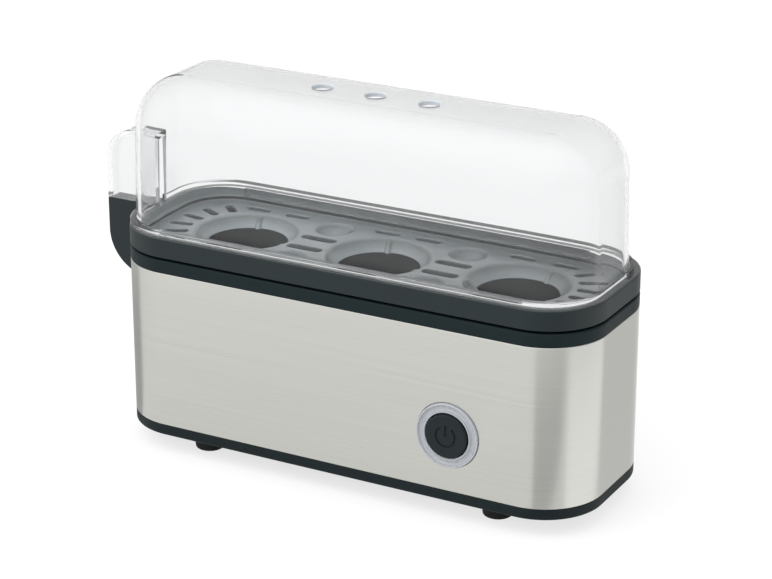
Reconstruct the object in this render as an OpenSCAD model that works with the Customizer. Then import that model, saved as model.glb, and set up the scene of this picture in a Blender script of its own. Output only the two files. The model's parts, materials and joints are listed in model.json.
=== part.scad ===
// Electric egg cooker for three eggs in a row.
// X runs along the body, the front faces -Y, and Z = 0 is the table under the feet.
// The modules are drawn about the middle of the body, and in_frame() moves them into the part's frame.
// The grip of the tray and of the lid is on the -X end.

/* [Body] */
// Length of the body over its bands
body_l = 225; // [218:0.5:250]
// Width of the body over its bands
body_w = 81.6; // [76:0.2:96]
// Corner radius of the body in plan
corner_r = 27; // [25.5:0.5:28.5]
// Height of the black base rim
base_rim_h = 5; // [4:0.5:6]
// Height of the steel sleeve
shell_h = 71.2; // [64:0.2:90]
// Thickness of the steel sleeve
shell_t = 0.8; // [0.6:0.1:1.2]
// Height of the upper frame's band
frame_band_h = 5.9; // [5:0.1:9]
// Height of the dark groove under the tray's band
groove_h = 1.1; // [0.6:0.1:2]
// Height of the tray's band
tray_band_h = 8.8; // [8.4:0.1:12]
// Rounding of the visible edges of the bands
edge_r = 0.9; // [0.3:0.1:1.2]
// Wall thickness of the plastic mouldings
wall_t = 2; // [1.6:0.1:2.4]

/* [Feet] */
// Height of the feet under the base
foot_h = 8; // [5:0.5:12]
// Radius of a foot where it stands
foot_r = 6.5; // [5:0.1:8]
// How much wider a foot is at its top
foot_flare = 0.9; // [0:0.1:2]
// Distance between the feet along the body
foot_span_x = 142; // [140:1:160]
// Distance between the feet across the body
foot_span_y = 52; // [40:1:56]

/* [Egg tray] */
// Width of the tray's rim
rim_w = 4.8; // [4.4:0.1:6]
// Wall of the hollow rim
rim_wall = 1.6; // [1.2:0.1:1.8]
// Depth of the tray's floor under the rim
tray_depth = 6; // [5:0.1:6.5]
// Thickness of the tray's floor
tray_t = 2; // [1.6:0.1:2.4]
// Distance between the eggs
egg_pitch = 65.6; // [64.6:0.2:66.4]
// Radius of an egg hole at its lower edge
seat_r = 17.8; // [15:0.1:19]
// Radius of an egg seat at the tray's floor
seat_top_r = 23; // [21:0.1:23.6]
// Depth of an egg seat under the tray's floor
seat_drop = 5.2; // [4:0.1:6]
// Wall of an egg seat
seat_wall = 1.8; // [1.4:0.1:2.2]
// Rounding where a seat runs into the floor
seat_edge_r = 3; // [1:0.1:4]
// Radius of the ribs that hold an egg off its seat
seat_rib_r = 1.4; // [1:0.1:1.6]
// Width of the steam slots
slot_w = 3.8; // [2:0.1:4]
// Length of the slots in the two long rows
slot_l = 12; // [8:0.5:14]
// Length of the slots between the eggs
bridge_slot_l = 17; // [10:0.5:17.5]
// Width of the slots between the eggs
bridge_slot_w = 4.8; // [3:0.1:5]
// Length of the slots around the two end seats
fan_slot_l = 11; // [7:0.5:12]
// Radius of the round dishes between the eggs
dish_r = 8.5; // [6:0.1:9]
// Depth of the round dishes
dish_depth = 3.5; // [2:0.1:4]
// Rounding where a dish runs into the floor
dish_edge_r = 1.2; // [0.6:0.1:1.6]
// Width of the step that runs around the tray's floor
step_w = 1.8; // [1.2:0.1:2.2]
// Gap between that step and the lid's lips
step_gap = 0.4; // [0.3:0.05:0.5]

/* [Grip] */
// Reach of the grip from the end of the body
grip_reach = 23; // [21.5:0.5:30]
// Thickness of the grip
grip_t = 10; // [8:0.5:14]
// Wall of the hollow grip
grip_wall = 2; // [1.4:0.1:2.4]
// Height of the tray's half of the grip
grip_low_h = 35; // [31:0.5:44]
// Rounding of the grip's lower end
grip_low_r = 20; // [10:0.5:21]
// Height of the lid's half of the grip
grip_high_h = 32.5; // [24:0.5:38]
// Rounding of the grip's upper end
grip_high_r = 14; // [8:0.5:16]

/* [Lid] */
// Height of the lid above the tray's rim
lid_h = 65; // [58:0.5:75]
// Wall of the lid
lid_wall = 2; // [1.6:0.1:2.6]
// Corner radius of the lid in plan, at its foot
lid_corner_r = 24; // [22:0.5:25]
// Distance of the lid's ends from the ends of the body
lid_end_inset = 2.6; // [2.4:0.1:5]
// Draft of the lid's walls
lid_draft = 1.5; // [0.5:0.1:3]
// How far the lid stands towards the grip
lid_shift = 1.5; // [0:0.1:1.8]
// Height of the flange around the lid's foot
flange_h = 2; // [1.4:0.1:3]
// Distance of the flange's edge from the body's edge
flange_inset = 1.5; // [0.8:0.1:2]
// Depth of the lips that locate the lid in the tray
lip_h = 3.5; // [2:0.1:4.5]
// Play of those lips in the tray
lip_gap = 0.7; // [0.4:0.1:1]
// Radius of the steam vents
vent_r = 4.5; // [3:0.1:5.5]
// Distance between the steam vents
vent_pitch = 25.4; // [18:0.2:30]

/* [Water pan] */
// Depth of the water pan
pan_depth = 19; // [14:0.5:21.5]
// Thickness of the pan's sheet
pan_t = 1; // [0.8:0.1:1.4]
// Outer radius of the pan's bottom edge
pan_edge_r = 8; // [5:0.5:9]
// How far the pan's flange lies under the frame's top
pan_drop = 4.1; // [3.6:0.1:4.6]
// Thickness of the seal under the flange
seal_t = 1.5; // [1:0.1:2]
// Width of the ledge that carries the seal
ledge_w = 5; // [4:0.1:6]
// Thickness of that ledge
ledge_t = 3; // [2:0.1:3.5]
// Land of the frame inside the tray's rim
frame_land = 2.6; // [2:0.1:3.4]

/* [Button] */
// Place of the button along the body
button_x = 54.5; // [30:0.5:55.5]
// Height of the button above the base
button_h = 30.2; // [28.8:0.2:33]
// Radius of the button's cap
cap_r = 9.65; // [8:0.05:9.7]
// How far the cap stands out of the sleeve
cap_out = 2; // [1.2:0.1:3]
// Rounding of the cap's edge
cap_edge_r = 0.9; // [0.3:0.1:1.2]
// Travel of the button
press_travel = 2.5; // [1:0.1:3]
// Outer radius of the clear ring
ring_r = 14.2; // [13.6:0.1:15]
// Bore radius of the clear ring
ring_bore_r = 10.1; // [10:0.05:10.5]
// How far the ring stands out of the sleeve
ring_out = 1; // [0.6:0.1:1.6]
// Depth of the groove in the ring's face
ring_groove = 1.2; // [0.4:0.1:1.6]

/* [Base and posts] */
// Thickness of the base's floor
floor_t = 2.4; // [2:0.1:3]
// Height of the screw bosses on that floor
boss_h = 4; // [3:0.5:6]
// Radius of the screw bosses
boss_r = 5; // [4.5:0.1:6]
// Depth of the spigots that hold the sleeve
spigot_h = 6; // [4:0.5:6.5]
// Radius of the frame's posts
post_r = 3.6; // [3:0.1:3.7]
// Distance of the posts from the ends of the body
post_end = 24.5; // [24:0.5:30]
// Distance of the posts from the sides of the body
post_side = 7.4; // [7.3:0.1:8]
// Radius of the screw holes in the posts
pilot_r = 1.5; // [1.2:0.1:2]
// Depth of those holes
pilot_l = 15; // [14:0.5:20]
// Radius of a screw's head
head_r = 3; // [2.6:0.1:3.4]
// Height of a screw's head
head_h = 2.2; // [1.5:0.1:2.5]
// Depth at which the heads lie in the base
head_sink = 1; // [0.4:0.1:1.5]
// Length of a screw under its head
screw_l = 13; // [11:0.5:14]
// Radius of a foot's neck in the base
neck_r = 3; // [2:0.1:3.4]

/* [Tray pattern] */
// Place of the slot rows across the body
row_y = 27; // [26.6:0.1:28]
// Distance of a row's slots from the middle of their egg
row_x = 10.1; // [8:0.1:14]
// Place of the slots between the eggs across the body
bridge_y = 6.25; // [6:0.05:7.5]
// Place of the dishes across the body
dish_y = 20; // [19:0.1:21]
// Land between the fans of slots and the tray's skirt
fan_land = 0.7; // [0.3:0.1:1]
// Angle between the slots of a fan
fan_step = 18; // [12:1:20]
// Turn of the seat ribs
rib_turn = 16; // [0:1:30]
// Depth of the skirt that locates the tray in the frame
skirt_drop = 2.6; // [1.5:0.1:3]

/* [Switch] */
// Width of the bush's flange around the ring
bush_lip = 3.4; // [2.5:0.1:3.6]
// Thickness of the bush's flange
bush_flange_t = 2.5; // [1.5:0.1:3]
// Wall of the bush
bush_wall = 1.6; // [1.2:0.1:2]
// Depth of the ring in the bush
ring_back = 4.2; // [3.9:0.1:4.4]
// Depth of the lamp board's seat
led_seat = 8; // [7.6:0.1:8.2]
// Thickness of the lamp board
led_t = 1.6; // [1:0.1:1.8]
// Width of the seats in the bush
bush_step = 1; // [0.8:0.1:1.2]
// Depth of the bush's floor
bush_floor = 8.6; // [8.2:0.1:9]
// Depth of the bush
bush_back = 10.4; // [10:0.1:10.8]
// Radius of the button's stem
stem_r = 4; // [3:0.1:5]
// Thickness of the upright that carries the switch
upright_t = 2.5; // [2.5:0.1:3.5]
// Margin of the upright round the switch
upright_rim = 1; // [0:0.1:1.5]
// Length of the switch
switch_l = 16; // [14:0.5:18]
// Width of the switch
switch_w = 20; // [16:0.5:21]
// Height of the switch
switch_h = 14; // [10:0.5:16]
// Radius of the switch's plunger
plunger_r = 2.5; // [1.5:0.1:2.9]
// Length of the switch's plunger
plunger_l = 9.6; // [8:0.1:11]
// Width of the push-on tabs
tab_w = 6.3; // [4.8:0.1:6.3]
// Thickness of the push-on tabs
tab_t = 0.8; // [0.5:0.1:1]
// Length of the push-on tabs
tab_l = 8; // [6:0.5:10]

/* [Under the pan] */
// Radius of the heater's tube
heater_r = 3.3; // [2.5:0.1:4]
// Distance between the heater's two runs
heater_gap = 26; // [24:0.5:30]
// Length of the heater's straight runs
heater_run = 124; // [112:1:140]
// Radius of the bends at the heater's ends
heater_bend = 8; // [6:0.5:10]
// Length of the heater's legs
heater_leg = 10; // [6:0.5:12]
// Depth of the flat where the heater lies on the pan
heater_flat = 0.4; // [0.2:0.05:0.6]
// Place of the thermostat along the body
thermostat_x = 20; // [18:1:24]
// Radius of the thermostat's cap
thermostat_r = 8; // [6:0.1:8.2]
// Height of the thermostat's cap
thermostat_h = 4.5; // [3:0.1:5]
// Height of the thermostat's base
thermostat_base_h = 7.5; // [5:0.1:8.5]
// Width of the rim by which the thermostat is held
thermostat_rim = 1; // [0.8:0.1:1.4]
// Thickness of the thermostat's clip
clip_t = 1.2; // [0.8:0.1:1.5]
// Distance of the clip's studs from the thermostat's cap
clip_reach = 6; // [5.5:0.1:6.5]
// Radius of the studs under the pan
stud_r = 2; // [1.5:0.1:2.5]
// Radius of the nuts over their corners
nut_r = 4; // [3.6:0.1:4.4]
// Height of the nuts
nut_h = 3.2; // [2.4:0.1:3.6]
// Distance between the two pan straps
strap_span = 100; // [92:1:112]
// Width of the pan straps
strap_w = 10; // [8:0.5:11]
// Thickness of the pan straps
strap_t = 1.5; // [1:0.1:2]
// Gap between the heater and the pan straps
strap_gap = 1; // [0.6:0.1:1.5]
// Place of the fuse along the body
fuse_x = -22; // [-24:0.5:-21]
// Radius of the fuse
fuse_r = 2; // [1.5:0.1:2.4]
// Length of the fuse
fuse_l = 12; // [8:0.5:16]
// Length of the fuse's sleeve
sleeve_l = 26; // [18:0.5:28]
// Wall of the fuse's sleeve
sleeve_t = 0.9; // [0.5:0.1:1.2]

/* [Mains] */
// Radius of the leads
lead_r = 1.1; // [0.8:0.05:1.4]
// How far the leads run straight out of their terminals
lead_bow = 14; // [12:0.5:16]
// Length of the terminal block
block_l = 26; // [22:0.5:30]
// Width of the terminal block
block_w = 14; // [10:0.5:16]
// Height of the terminal block
block_h = 12; // [10:0.5:14]
// Place of the terminal block along the body
block_x = -40; // [-42:0.5:-36]
// Place of the terminal block across the body
block_y = 12; // [10:0.5:14]
// Place of the mains inlet along the body
gland_x = -66; // [-70:0.5:-50]
// Height of the mains inlet above the base
gland_h = 20; // [20:0.5:30]
// Radius of the hole for the mains lead
cord_hole_r = 3.6; // [3:0.1:4.2]
// Wall of the inlet's neck
gland_wall = 2; // [1.5:0.1:2.5]
// Width of the inlet's collars
gland_collar = 2; // [1.5:0.1:2.2]
// Thickness of the inlet's collars
gland_t = 1.5; // [1:0.1:2]

/* [Fits] */
// Gap between pieces that are pushed together
fit = 0.3; // [0.2:0.05:0.45]
// Radial gap of a sliding shaft or a screw
run_fit = 0.08; // [0.04:0.01:0.1]
// Gap around pieces that lift out
lift_gap = 0.5; // [0.3:0.1:0.8]
// Gap between the tray's grip and the body
grip_gap = 0.8; // [0.5:0.1:1.2]
// Gap where a lead meets its terminal
touch = 0.05; // [0.02:0.01:0.1]

/* [Hidden] */
$fn = 96;

// How far a cut runs past the face that it opens
over = 1;

// Levels from the table up
z_base = foot_h;
z_in = z_base + floor_t;
z_boss = z_in + boss_h;
z_shell = z_base + base_rim_h;
z_frame = z_shell + shell_h;
z_groove = z_frame + frame_band_h;
z_tray = z_groove + groove_h;
z_rim = z_tray + tray_band_h;
z_top = z_rim + lid_h;
z_floor = z_rim - tray_depth;
z_seat = z_floor - seat_drop;
z_pan_top = z_groove - pan_drop;
z_pan_in = z_pan_top - pan_depth;
z_pan = z_pan_in - pan_t;
z_ledge = z_pan_top - pan_t - seal_t;
z_under = z_ledge - ledge_t;

// Insets from the outer face of the body
frame_w = rim_w + frame_land;
pan_in = frame_w + ledge_w + fit;
skirt_in = frame_w + lift_gap;
sleeve_in = shell_t + fit;

// Posts and screws
post_x = body_l / 2 - post_end;
post_y = body_w / 2 - post_side;
screw_r = pilot_r - run_fit;
z_head = z_base + head_sink;

// Lid dome: its rounded top edge is drawn so that each corner is part of a sphere
dome_l = body_l - 2 * lid_end_inset;
dome_w = body_w - 2 * (rim_w + lip_gap);
dome_r = (lid_corner_r - lid_h * tan(lid_draft)) / (1 / cos(lid_draft) - tan(lid_draft));
dome_x = dome_l / 2 - lid_corner_r;
dome_y = dome_w / 2 - lid_corner_r;
z_dome = z_top - dome_r;
grip_x = -body_l / 2 - grip_reach;

// Tray pattern
fan_r = body_l / 2 - skirt_in - rim_wall - fan_land - fan_slot_l / 2 - egg_pitch;
dish_sphere = (dish_r * dish_r + dish_depth * dish_depth) / (2 * dish_depth);
z_dish = z_floor - dish_depth + dish_sphere;
dish_rise = z_dish - z_floor + dish_edge_r;
dish_top_r = sqrt(pow(dish_sphere + dish_edge_r, 2) - pow(dish_rise, 2));
z_step = z_rim - lip_h - step_gap;

// Button and switch, as depths from the front face inwards
button_z = z_base + button_h;
bush_r = ring_r + bush_wall;
ring_seat_r = ring_r + fit;
led_seat_r = ring_r - bush_step;
switch_front = bush_back + upright_t;
stem_end = switch_front - press_travel - fit - touch;
plunger_end = stem_end + plunger_l;

// Heater and what hangs under the pan
heater_x = heater_run / 2;
heater_end_x = -heater_x - heater_bend;
heater_z = z_pan - heater_r + heater_flat;
z_heater_end = heater_z - heater_bend - heater_leg;
pin_h = tab_l / 3;
z_thermostat = z_pan - thermostat_h - thermostat_base_h;
stud_off = thermostat_r + clip_reach;
z_clip = z_pan - thermostat_h - clip_t;
strap_x = strap_span / 2;
z_strap = heater_z - heater_r - strap_gap - strap_t;
sleeve_bore_r = fuse_r + fit;
sleeve_r = sleeve_bore_r + sleeve_t;
fuse_z = z_pan - sleeve_r - touch;
fuse_end = sleeve_l / 2 + fuse_r / 2;

// Mains inlet
gland_z = z_base + gland_h;
gland_neck_r = cord_hole_r + gland_wall;

// Points of an arc
function arc(cx, cy, r, a0, a1, n) =
    [for (i = [0:n]) let(a = a0 + (a1 - a0) * i / n) [cx + r * cos(a), cy + r * sin(a)]];

// Rounded rectangle about the origin
module rounded(l, w, r) {
    square([l - 2 * r, w], center = true);
    for (sx = [-1, 1]) {
        translate([sx * (l - r) / 2, 0]) square([r, w - 2 * r], center = true);
        for (sy = [-1, 1])
            translate([sx * (l / 2 - r), sy * (w / 2 - r)])
                intersection() {
                    circle(r);
                    translate([sx * r / 2, sy * r / 2]) square(r, center = true);
                }
    }
}

// Outline of the body, drawn in by an inset
module outline(inset) {
    rounded(body_l - 2 * inset, body_w - 2 * inset, corner_r - inset);
}

// Upright wall that follows the body between two insets
module wall(z0, z1, outer, inner) {
    translate([0, 0, z0])
        linear_extrude(z1 - z0)
            difference() {
                outline(outer);
                outline(inner);
            }
}

// Flat plate that follows the body
module plate(z0, z1, inset) {
    translate([0, 0, z0]) linear_extrude(z1 - z0) outline(inset);
}

// Carries a section around four corner axes; the section's x runs outwards from an axis
module around(half_x, half_y) {
    for (k = [0:3]) {
        side = k % 2 == 0 ? 2 * half_x : 2 * half_y;
        translate([(k == 0 || k == 3 ? 1 : -1) * half_x, (k < 2 ? 1 : -1) * half_y, 0])
            rotate([0, 0, 90 * k]) {
                rotate_extrude(angle = 90) children();
                rotate([0, 0, 90])
                    translate([0, side, 0])
                        rotate([90, 0, 0])
                            linear_extrude(side) children();
            }
    }
}

// Carries a section around the body; x = 0 is the outer face and x < 0 is inside it
module around_body() {
    around(body_l / 2 - corner_r, body_w / 2 - corner_r) translate([corner_r, 0]) children();
}

// Rectangle from the origin with its corner at the origin rounded
module one_round(w, h, r) {
    translate([r, 0]) square([w - r, h]);
    translate([0, r]) square([r, h - r]);
    intersection() {
        translate([r, r]) circle(r);
        square(r);
    }
}

// Slot with round ends along X
module slot(l, w, h) {
    cube([l - w, w, h], center = true);
    for (s = [-1, 1]) translate([s * (l - w) / 2, 0, 0]) cylinder(r = w / 2, h = h, center = true);
}

// Puts a piece on the button's axis; its z runs from the front face inwards
module on_button() {
    translate([button_x, -body_w / 2, button_z]) rotate([-90, 0, 0]) children();
}

// One on each side in X and Y
module at_four(x, y) {
    for (sx = [-1, 1], sy = [-1, 1]) translate([sx * x, sy * y, 0]) children();
}

// Section of the dome from a corner's axis outwards, thinner by an offset
module dome_section(offset_in, z0) {
    r = dome_r - offset_in;
    edge = [r * cos(lid_draft), z_dome + r * sin(lid_draft)];
    foot_x = edge[0] + (edge[1] - z0) * tan(lid_draft);
    polygon([[0, z0], [foot_x, z0], edge, [0, z_dome]]);
    intersection() {
        translate([0, z_dome]) circle(r);
        polygon([
            [0, z_dome],
            [2 * edge[0], 2 * edge[1] - z_dome],
            [2 * r, z_dome + 2 * r],
            [0, z_dome + 2 * r]
        ]);
    }
}

// Solid dome with drafted walls and a rounded top
module dome(offset_in, z0) {
    around(dome_x, dome_y) dome_section(offset_in, z0);
    translate([-dome_x, -dome_y, z0]) cube([2 * dome_x, 2 * dome_y, z_top - offset_in - z0]);
}

// Upright blade of the grip, from a 2D shape whose x runs from the grip's outer edge to the body
module grip_slab(t) {
    translate([grip_x, t / 2, 0]) rotate([90, 0, 0]) linear_extrude(t) children();
}

module lid_grip(inset, reach, z0) {
    h = grip_high_h - inset;
    grip_slab(grip_t - 2 * inset)
        translate([inset, z_rim + h])
            mirror([0, 1])
                one_round(reach - inset, h - z0 + z_rim, grip_high_r - inset);
}

module lid() {
    flange_l = body_l - 2 * flange_inset;
    flange_w = body_w - 2 * flange_inset;
    below = z_rim - lip_h - over;
    wall_x = grip_reach + lid_end_inset - lid_shift;
    color([0.92, 0.94, 0.95, 0.35])
        difference() {
            union() {
                translate([-lid_shift, 0, 0]) {
                    dome(0, z_rim);
                    translate([0, 0, z_rim])
                        linear_extrude(flange_h)
                            rounded(flange_l, flange_w, corner_r - flange_inset);
                    for (s = [-1, 1])
                        translate([-dome_x, s * (dome_w - lid_wall) / 2 - lid_wall / 2, z_rim - lip_h])
                            cube([2 * dome_x, lid_wall, lip_h + flange_h / 2]);
                }
                lid_grip(0, wall_x + lid_wall, z_rim);
            }
            translate([-lid_shift, 0, 0]) dome(lid_wall, below);
            lid_grip(grip_wall, wall_x + 3 * lid_wall, below);
            for (i = [-1:1])
                translate([i * vent_pitch - lid_shift, 0, z_top - lid_wall - over])
                    cylinder(r = vent_r, h = lid_wall + 2 * over);
        }
}

// Hollow rim of the tray, open below, with a step down to the floor
module tray_rim() {
    around_body()
        polygon(concat(
            [[0, z_tray]],
            arc(-edge_r, z_rim - edge_r, edge_r, 0, 90, 4),
            [
                [-rim_w, z_rim],
                [-rim_w, z_step],
                [-rim_w - step_w, z_step],
                [-rim_w - step_w, z_floor - tray_t / 2],
                [-rim_w, z_floor - tray_t / 2],
                [-rim_w, z_groove],
                [-rim_w + rim_wall, z_groove],
                [-rim_w + rim_wall, z_rim - tray_t],
                [-rim_wall, z_rim - tray_t],
                [-rim_wall, z_tray]
            ]
        ));
}

module seat_body() {
    rotate_extrude()
        polygon([
            [0, z_seat],
            [seat_r + seat_wall, z_seat],
            [seat_top_r + seat_wall, z_floor - tray_t / 4],
            [0, z_floor - tray_t / 4]
        ]);
}

// Space inside a seat: the hole, the cone and the rounding into the floor
module seat_space() {
    slope = atan2(seat_drop, seat_top_r - seat_r);
    run = seat_edge_r * tan(slope / 2);
    rotate_extrude()
        polygon(concat(
            [[0, z_seat - over], [seat_r, z_seat - over], [seat_r, z_seat]],
            arc(seat_top_r + run, z_floor - seat_edge_r, seat_edge_r, 90 + slope, 90, 5),
            [[seat_top_r + run, z_floor + over], [0, z_floor + over]]
        ));
}

// Three round ribs down the cone of a seat
module seat_ribs(turn) {
    lean = atan2(seat_top_r - seat_r, seat_drop);
    intersection() {
        for (k = [0:2])
            rotate([0, 0, turn + 120 * k])
                translate([seat_r + seat_rib_r / 3, 0, z_seat])
                    rotate([0, lean, 0])
                        translate([0, 0, -2 * seat_rib_r])
                            cylinder(r = seat_rib_r, h = seat_drop / cos(lean) + 2 * seat_rib_r);
        translate([0, 0, z_seat]) cylinder(r = seat_top_r + seat_wall, h = seat_drop - tray_t / 2);
    }
}

module dish_body() {
    intersection() {
        translate([0, 0, z_dish]) sphere(dish_sphere + seat_wall);
        translate([0, 0, z_floor - dish_depth - 2 * seat_wall])
            cylinder(r = dish_r + 2 * seat_wall, h = dish_depth + seat_wall);
    }
}

// Space inside a dish: part of a sphere and the rounding into the floor
module dish_space() {
    lean = atan2(dish_rise, -dish_top_r);
    edge = arc(dish_top_r, z_floor - dish_edge_r, dish_edge_r, 90, lean, 5);
    translate([0, 0, z_dish]) sphere(dish_sphere);
    rotate_extrude()
        polygon(concat(
            [[0, z_floor + over], [dish_top_r, z_floor + over]],
            edge,
            [[0, edge[len(edge) - 1][1]]]
        ));
}

module steam_slots() {
    through = 3 * tray_t;
    translate([0, 0, z_floor - tray_t / 2]) {
        for (i = [-1:1], sx = [-1, 1], sy = [-1, 1])
            translate([i * egg_pitch + sx * row_x, sy * row_y, 0]) slot(slot_l, slot_w, through);
        for (sx = [-1, 1], sy = [-1, 1])
            translate([sx * egg_pitch / 2, sy * bridge_y, 0]) slot(bridge_slot_l, bridge_slot_w, through);
        for (end = [0, 180], k = [-2.5:2.5])
            rotate([0, 0, end])
                translate([egg_pitch, 0, 0])
                    rotate([0, 0, k * fan_step])
                        translate([fan_r, 0, 0])
                            slot(fan_slot_l, slot_w, through);
    }
}

// Tray's half of the grip: a hollow blade, open towards the body below the band
module tray_grip() {
    reach = grip_reach - grip_gap;
    z_low = z_rim - grip_low_h;
    difference() {
        union() {
            grip_slab(grip_t) translate([0, z_low]) one_round(reach, grip_low_h, grip_low_r);
            grip_slab(grip_t) translate([reach, z_tray]) square([grip_gap + rim_wall / 2, tray_band_h]);
        }
        grip_slab(grip_t - 2 * grip_wall)
            translate([grip_wall, z_low + grip_wall])
                one_round(grip_reach, z_tray - z_low - grip_wall, grip_low_r - grip_wall);
        grip_slab(grip_t - 2 * grip_wall)
            translate([grip_wall, z_tray - grip_wall])
                square([reach - 2 * grip_wall, tray_band_h]);
    }
}

module egg_tray() {
    color([0.27, 0.3, 0.32]) {
        difference() {
            union() {
                tray_rim();
                plate(z_floor - tray_t, z_floor, rim_w - rim_wall / 2);
                wall(z_groove - skirt_drop, z_floor - tray_t / 2, skirt_in, skirt_in + rim_wall);
                for (i = [-1:1]) translate([i * egg_pitch, 0, 0]) seat_body();
                at_four(egg_pitch / 2, dish_y) dish_body();
            }
            for (i = [-1:1]) translate([i * egg_pitch, 0, 0]) seat_space();
            at_four(egg_pitch / 2, dish_y) dish_space();
            steam_slots();
        }
        for (i = [-1:1])
            translate([i * egg_pitch, 0, 0]) seat_ribs(i < 1 ? 90 + rib_turn : 90 - rib_turn);
        tray_grip();
    }
}

module upper_frame() {
    color([0.25, 0.28, 0.3])
        difference() {
            union() {
                around_body()
                    polygon(concat(
                        [[0, z_frame]],
                        arc(-edge_r, z_groove - edge_r, edge_r, 0, 90, 4),
                        [
                            [-frame_w, z_groove],
                            [-frame_w, z_ledge],
                            [-frame_w - ledge_w, z_ledge],
                            [-frame_w - ledge_w, z_under],
                            [-sleeve_in - wall_t, z_under],
                            [-sleeve_in - wall_t, z_under - spigot_h],
                            [-sleeve_in, z_under - spigot_h],
                            [-sleeve_in, z_frame]
                        ]
                    ));
                at_four(post_x, post_y)
                    translate([0, 0, z_boss]) cylinder(r = post_r, h = z_under - z_boss + ledge_t / 2);
            }
            at_four(post_x, post_y)
                translate([0, 0, z_boss - over]) cylinder(r = pilot_r, h = pilot_l + over);
        }
}

module steel_shell() {
    color([0.78, 0.77, 0.74])
        difference() {
            wall(z_shell, z_frame, 0, shell_t);
            on_button() translate([0, 0, -over]) cylinder(r = ring_seat_r, h = shell_t + 2 * over);
            translate([gland_x, body_w / 2 + over, gland_z])
                rotate([90, 0, 0])
                    cylinder(r = gland_neck_r + fit, h = shell_t + 2 * over);
        }
}

module base_plate() {
    inner = sleeve_in + wall_t;
    color([0.15, 0.16, 0.17])
        difference() {
            union() {
                around_body()
                    polygon(concat(
                        arc(-edge_r, z_base + edge_r, edge_r, -90, 0, 4),
                        [
                            [0, z_shell],
                            [-sleeve_in, z_shell],
                            [-sleeve_in, z_shell + spigot_h],
                            [-inner, z_shell + spigot_h],
                            [-inner, z_base]
                        ]
                    ));
                plate(z_base, z_in, inner - wall_t / 2);
                at_four(post_x, post_y)
                    translate([0, 0, z_in - floor_t / 2]) cylinder(r = boss_r, h = boss_h + floor_t / 2);
                switch_upright();
            }
            at_four(post_x, post_y) {
                translate([0, 0, z_base - over]) cylinder(r = head_r + fit, h = over + head_sink + head_h);
                translate([0, 0, z_base]) cylinder(r = pilot_r + fit, h = z_boss);
            }
            at_four(foot_span_x / 2, foot_span_y / 2)
                translate([0, 0, z_base - over])
                    cylinder(r = neck_r + run_fit, h = floor_t + 2 * over);
        }
}

// Upright of the base that carries the button's bush and the switch
module switch_upright() {
    half = switch_w / 2 + upright_rim;
    z0 = z_in - floor_t / 2;
    translate([button_x - half, -body_w / 2 + bush_back, z0])
        difference() {
            cube([2 * half, upright_t, button_z + half - z0]);
            translate([half, -over, button_z - z0])
                rotate([-90, 0, 0])
                    cylinder(r = stem_r + 2 * fit, h = upright_t + 2 * over);
        }
}

module feet() {
    lip = foot_r / 6;
    head = neck_r / 2;
    color([0.09, 0.09, 0.1])
        at_four(foot_span_x / 2, foot_span_y / 2)
            rotate_extrude()
                polygon(concat(
                    [[0, 0]],
                    arc(foot_r - lip, lip, lip, -90, 0, 4),
                    [
                        [foot_r + foot_flare, z_base],
                        [neck_r, z_base],
                        [neck_r, z_in],
                        [neck_r + head / 2, z_in],
                        [neck_r, z_in + head],
                        [0, z_in + head]
                    ]
                ));
}

module heating_pan() {
    edge = pan_in + pan_edge_r;
    color([0.23, 0.24, 0.25]) {
        around_body()
            polygon(concat(
                [
                    [-frame_w - fit, z_pan_top],
                    [-frame_w - fit, z_pan_top - pan_t],
                    [-pan_in, z_pan_top - pan_t]
                ],
                arc(-edge, z_pan + pan_edge_r, pan_edge_r, 0, -90, 6),
                [[-edge - pan_t, z_pan], [-edge - pan_t, z_pan_in]],
                arc(-edge, z_pan + pan_edge_r, pan_edge_r - pan_t, -90, 0, 6),
                [[-pan_in - pan_t, z_pan_top]]
            ));
        plate(z_pan, z_pan_in, edge + pan_t / 2);
        for (s = [-1, 1]) {
            translate([thermostat_x + s * stud_off, 0, 0]) stud(z_clip - nut_h);
            translate([s * strap_x, 0, 0]) stud(z_strap - clip_t - nut_h);
        }
    }
}

// Welded stud that ends a little below its nut
module stud(z_nut) {
    translate([0, 0, z_nut - stud_r / 2]) cylinder(r = stud_r, h = z_pan - z_nut + stud_r / 2 + pan_t / 2);
}

module pan_seal() {
    color([0.7, 0.3, 0.25]) wall(z_ledge, z_ledge + seal_t, frame_w + fit, frame_w + ledge_w - fit);
}

// U-shaped tube pressed flat against the pan, with two legs that turn down
module heating_element() {
    half = heater_gap / 2;
    color([0.45, 0.42, 0.4])
        difference() {
            translate([0, 0, heater_z]) {
                translate([heater_x, 0, 0])
                    rotate([0, 0, -90])
                        rotate_extrude(angle = 180)
                            translate([half, 0]) circle(heater_r);
                for (s = [-1, 1])
                    translate([-heater_x, s * half, 0]) {
                        rotate([0, 90, 0]) cylinder(r = heater_r, h = heater_run);
                        translate([0, 0, -heater_bend])
                            rotate([90, 0, 0])
                                rotate([0, 0, 90])
                                    rotate_extrude(angle = 90)
                                        translate([heater_bend, 0]) circle(heater_r);
                        translate([-heater_bend, 0, -heater_bend - heater_leg])
                            cylinder(r = heater_r, h = heater_leg);
                    }
            }
            translate([-body_l / 2, -body_w / 2, z_pan]) cube([body_l, body_w, heater_r]);
        }
}

module heater_terminals() {
    color([0.8, 0.78, 0.7])
        for (s = [-1, 1])
            translate([heater_end_x, s * heater_gap / 2, z_heater_end - pin_h]) {
                cylinder(r = heater_r * 3 / 4, h = pin_h);
                translate([-tab_t / 2, -tab_w / 2, -tab_l]) cube([tab_t, tab_w, tab_l]);
            }
}

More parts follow.
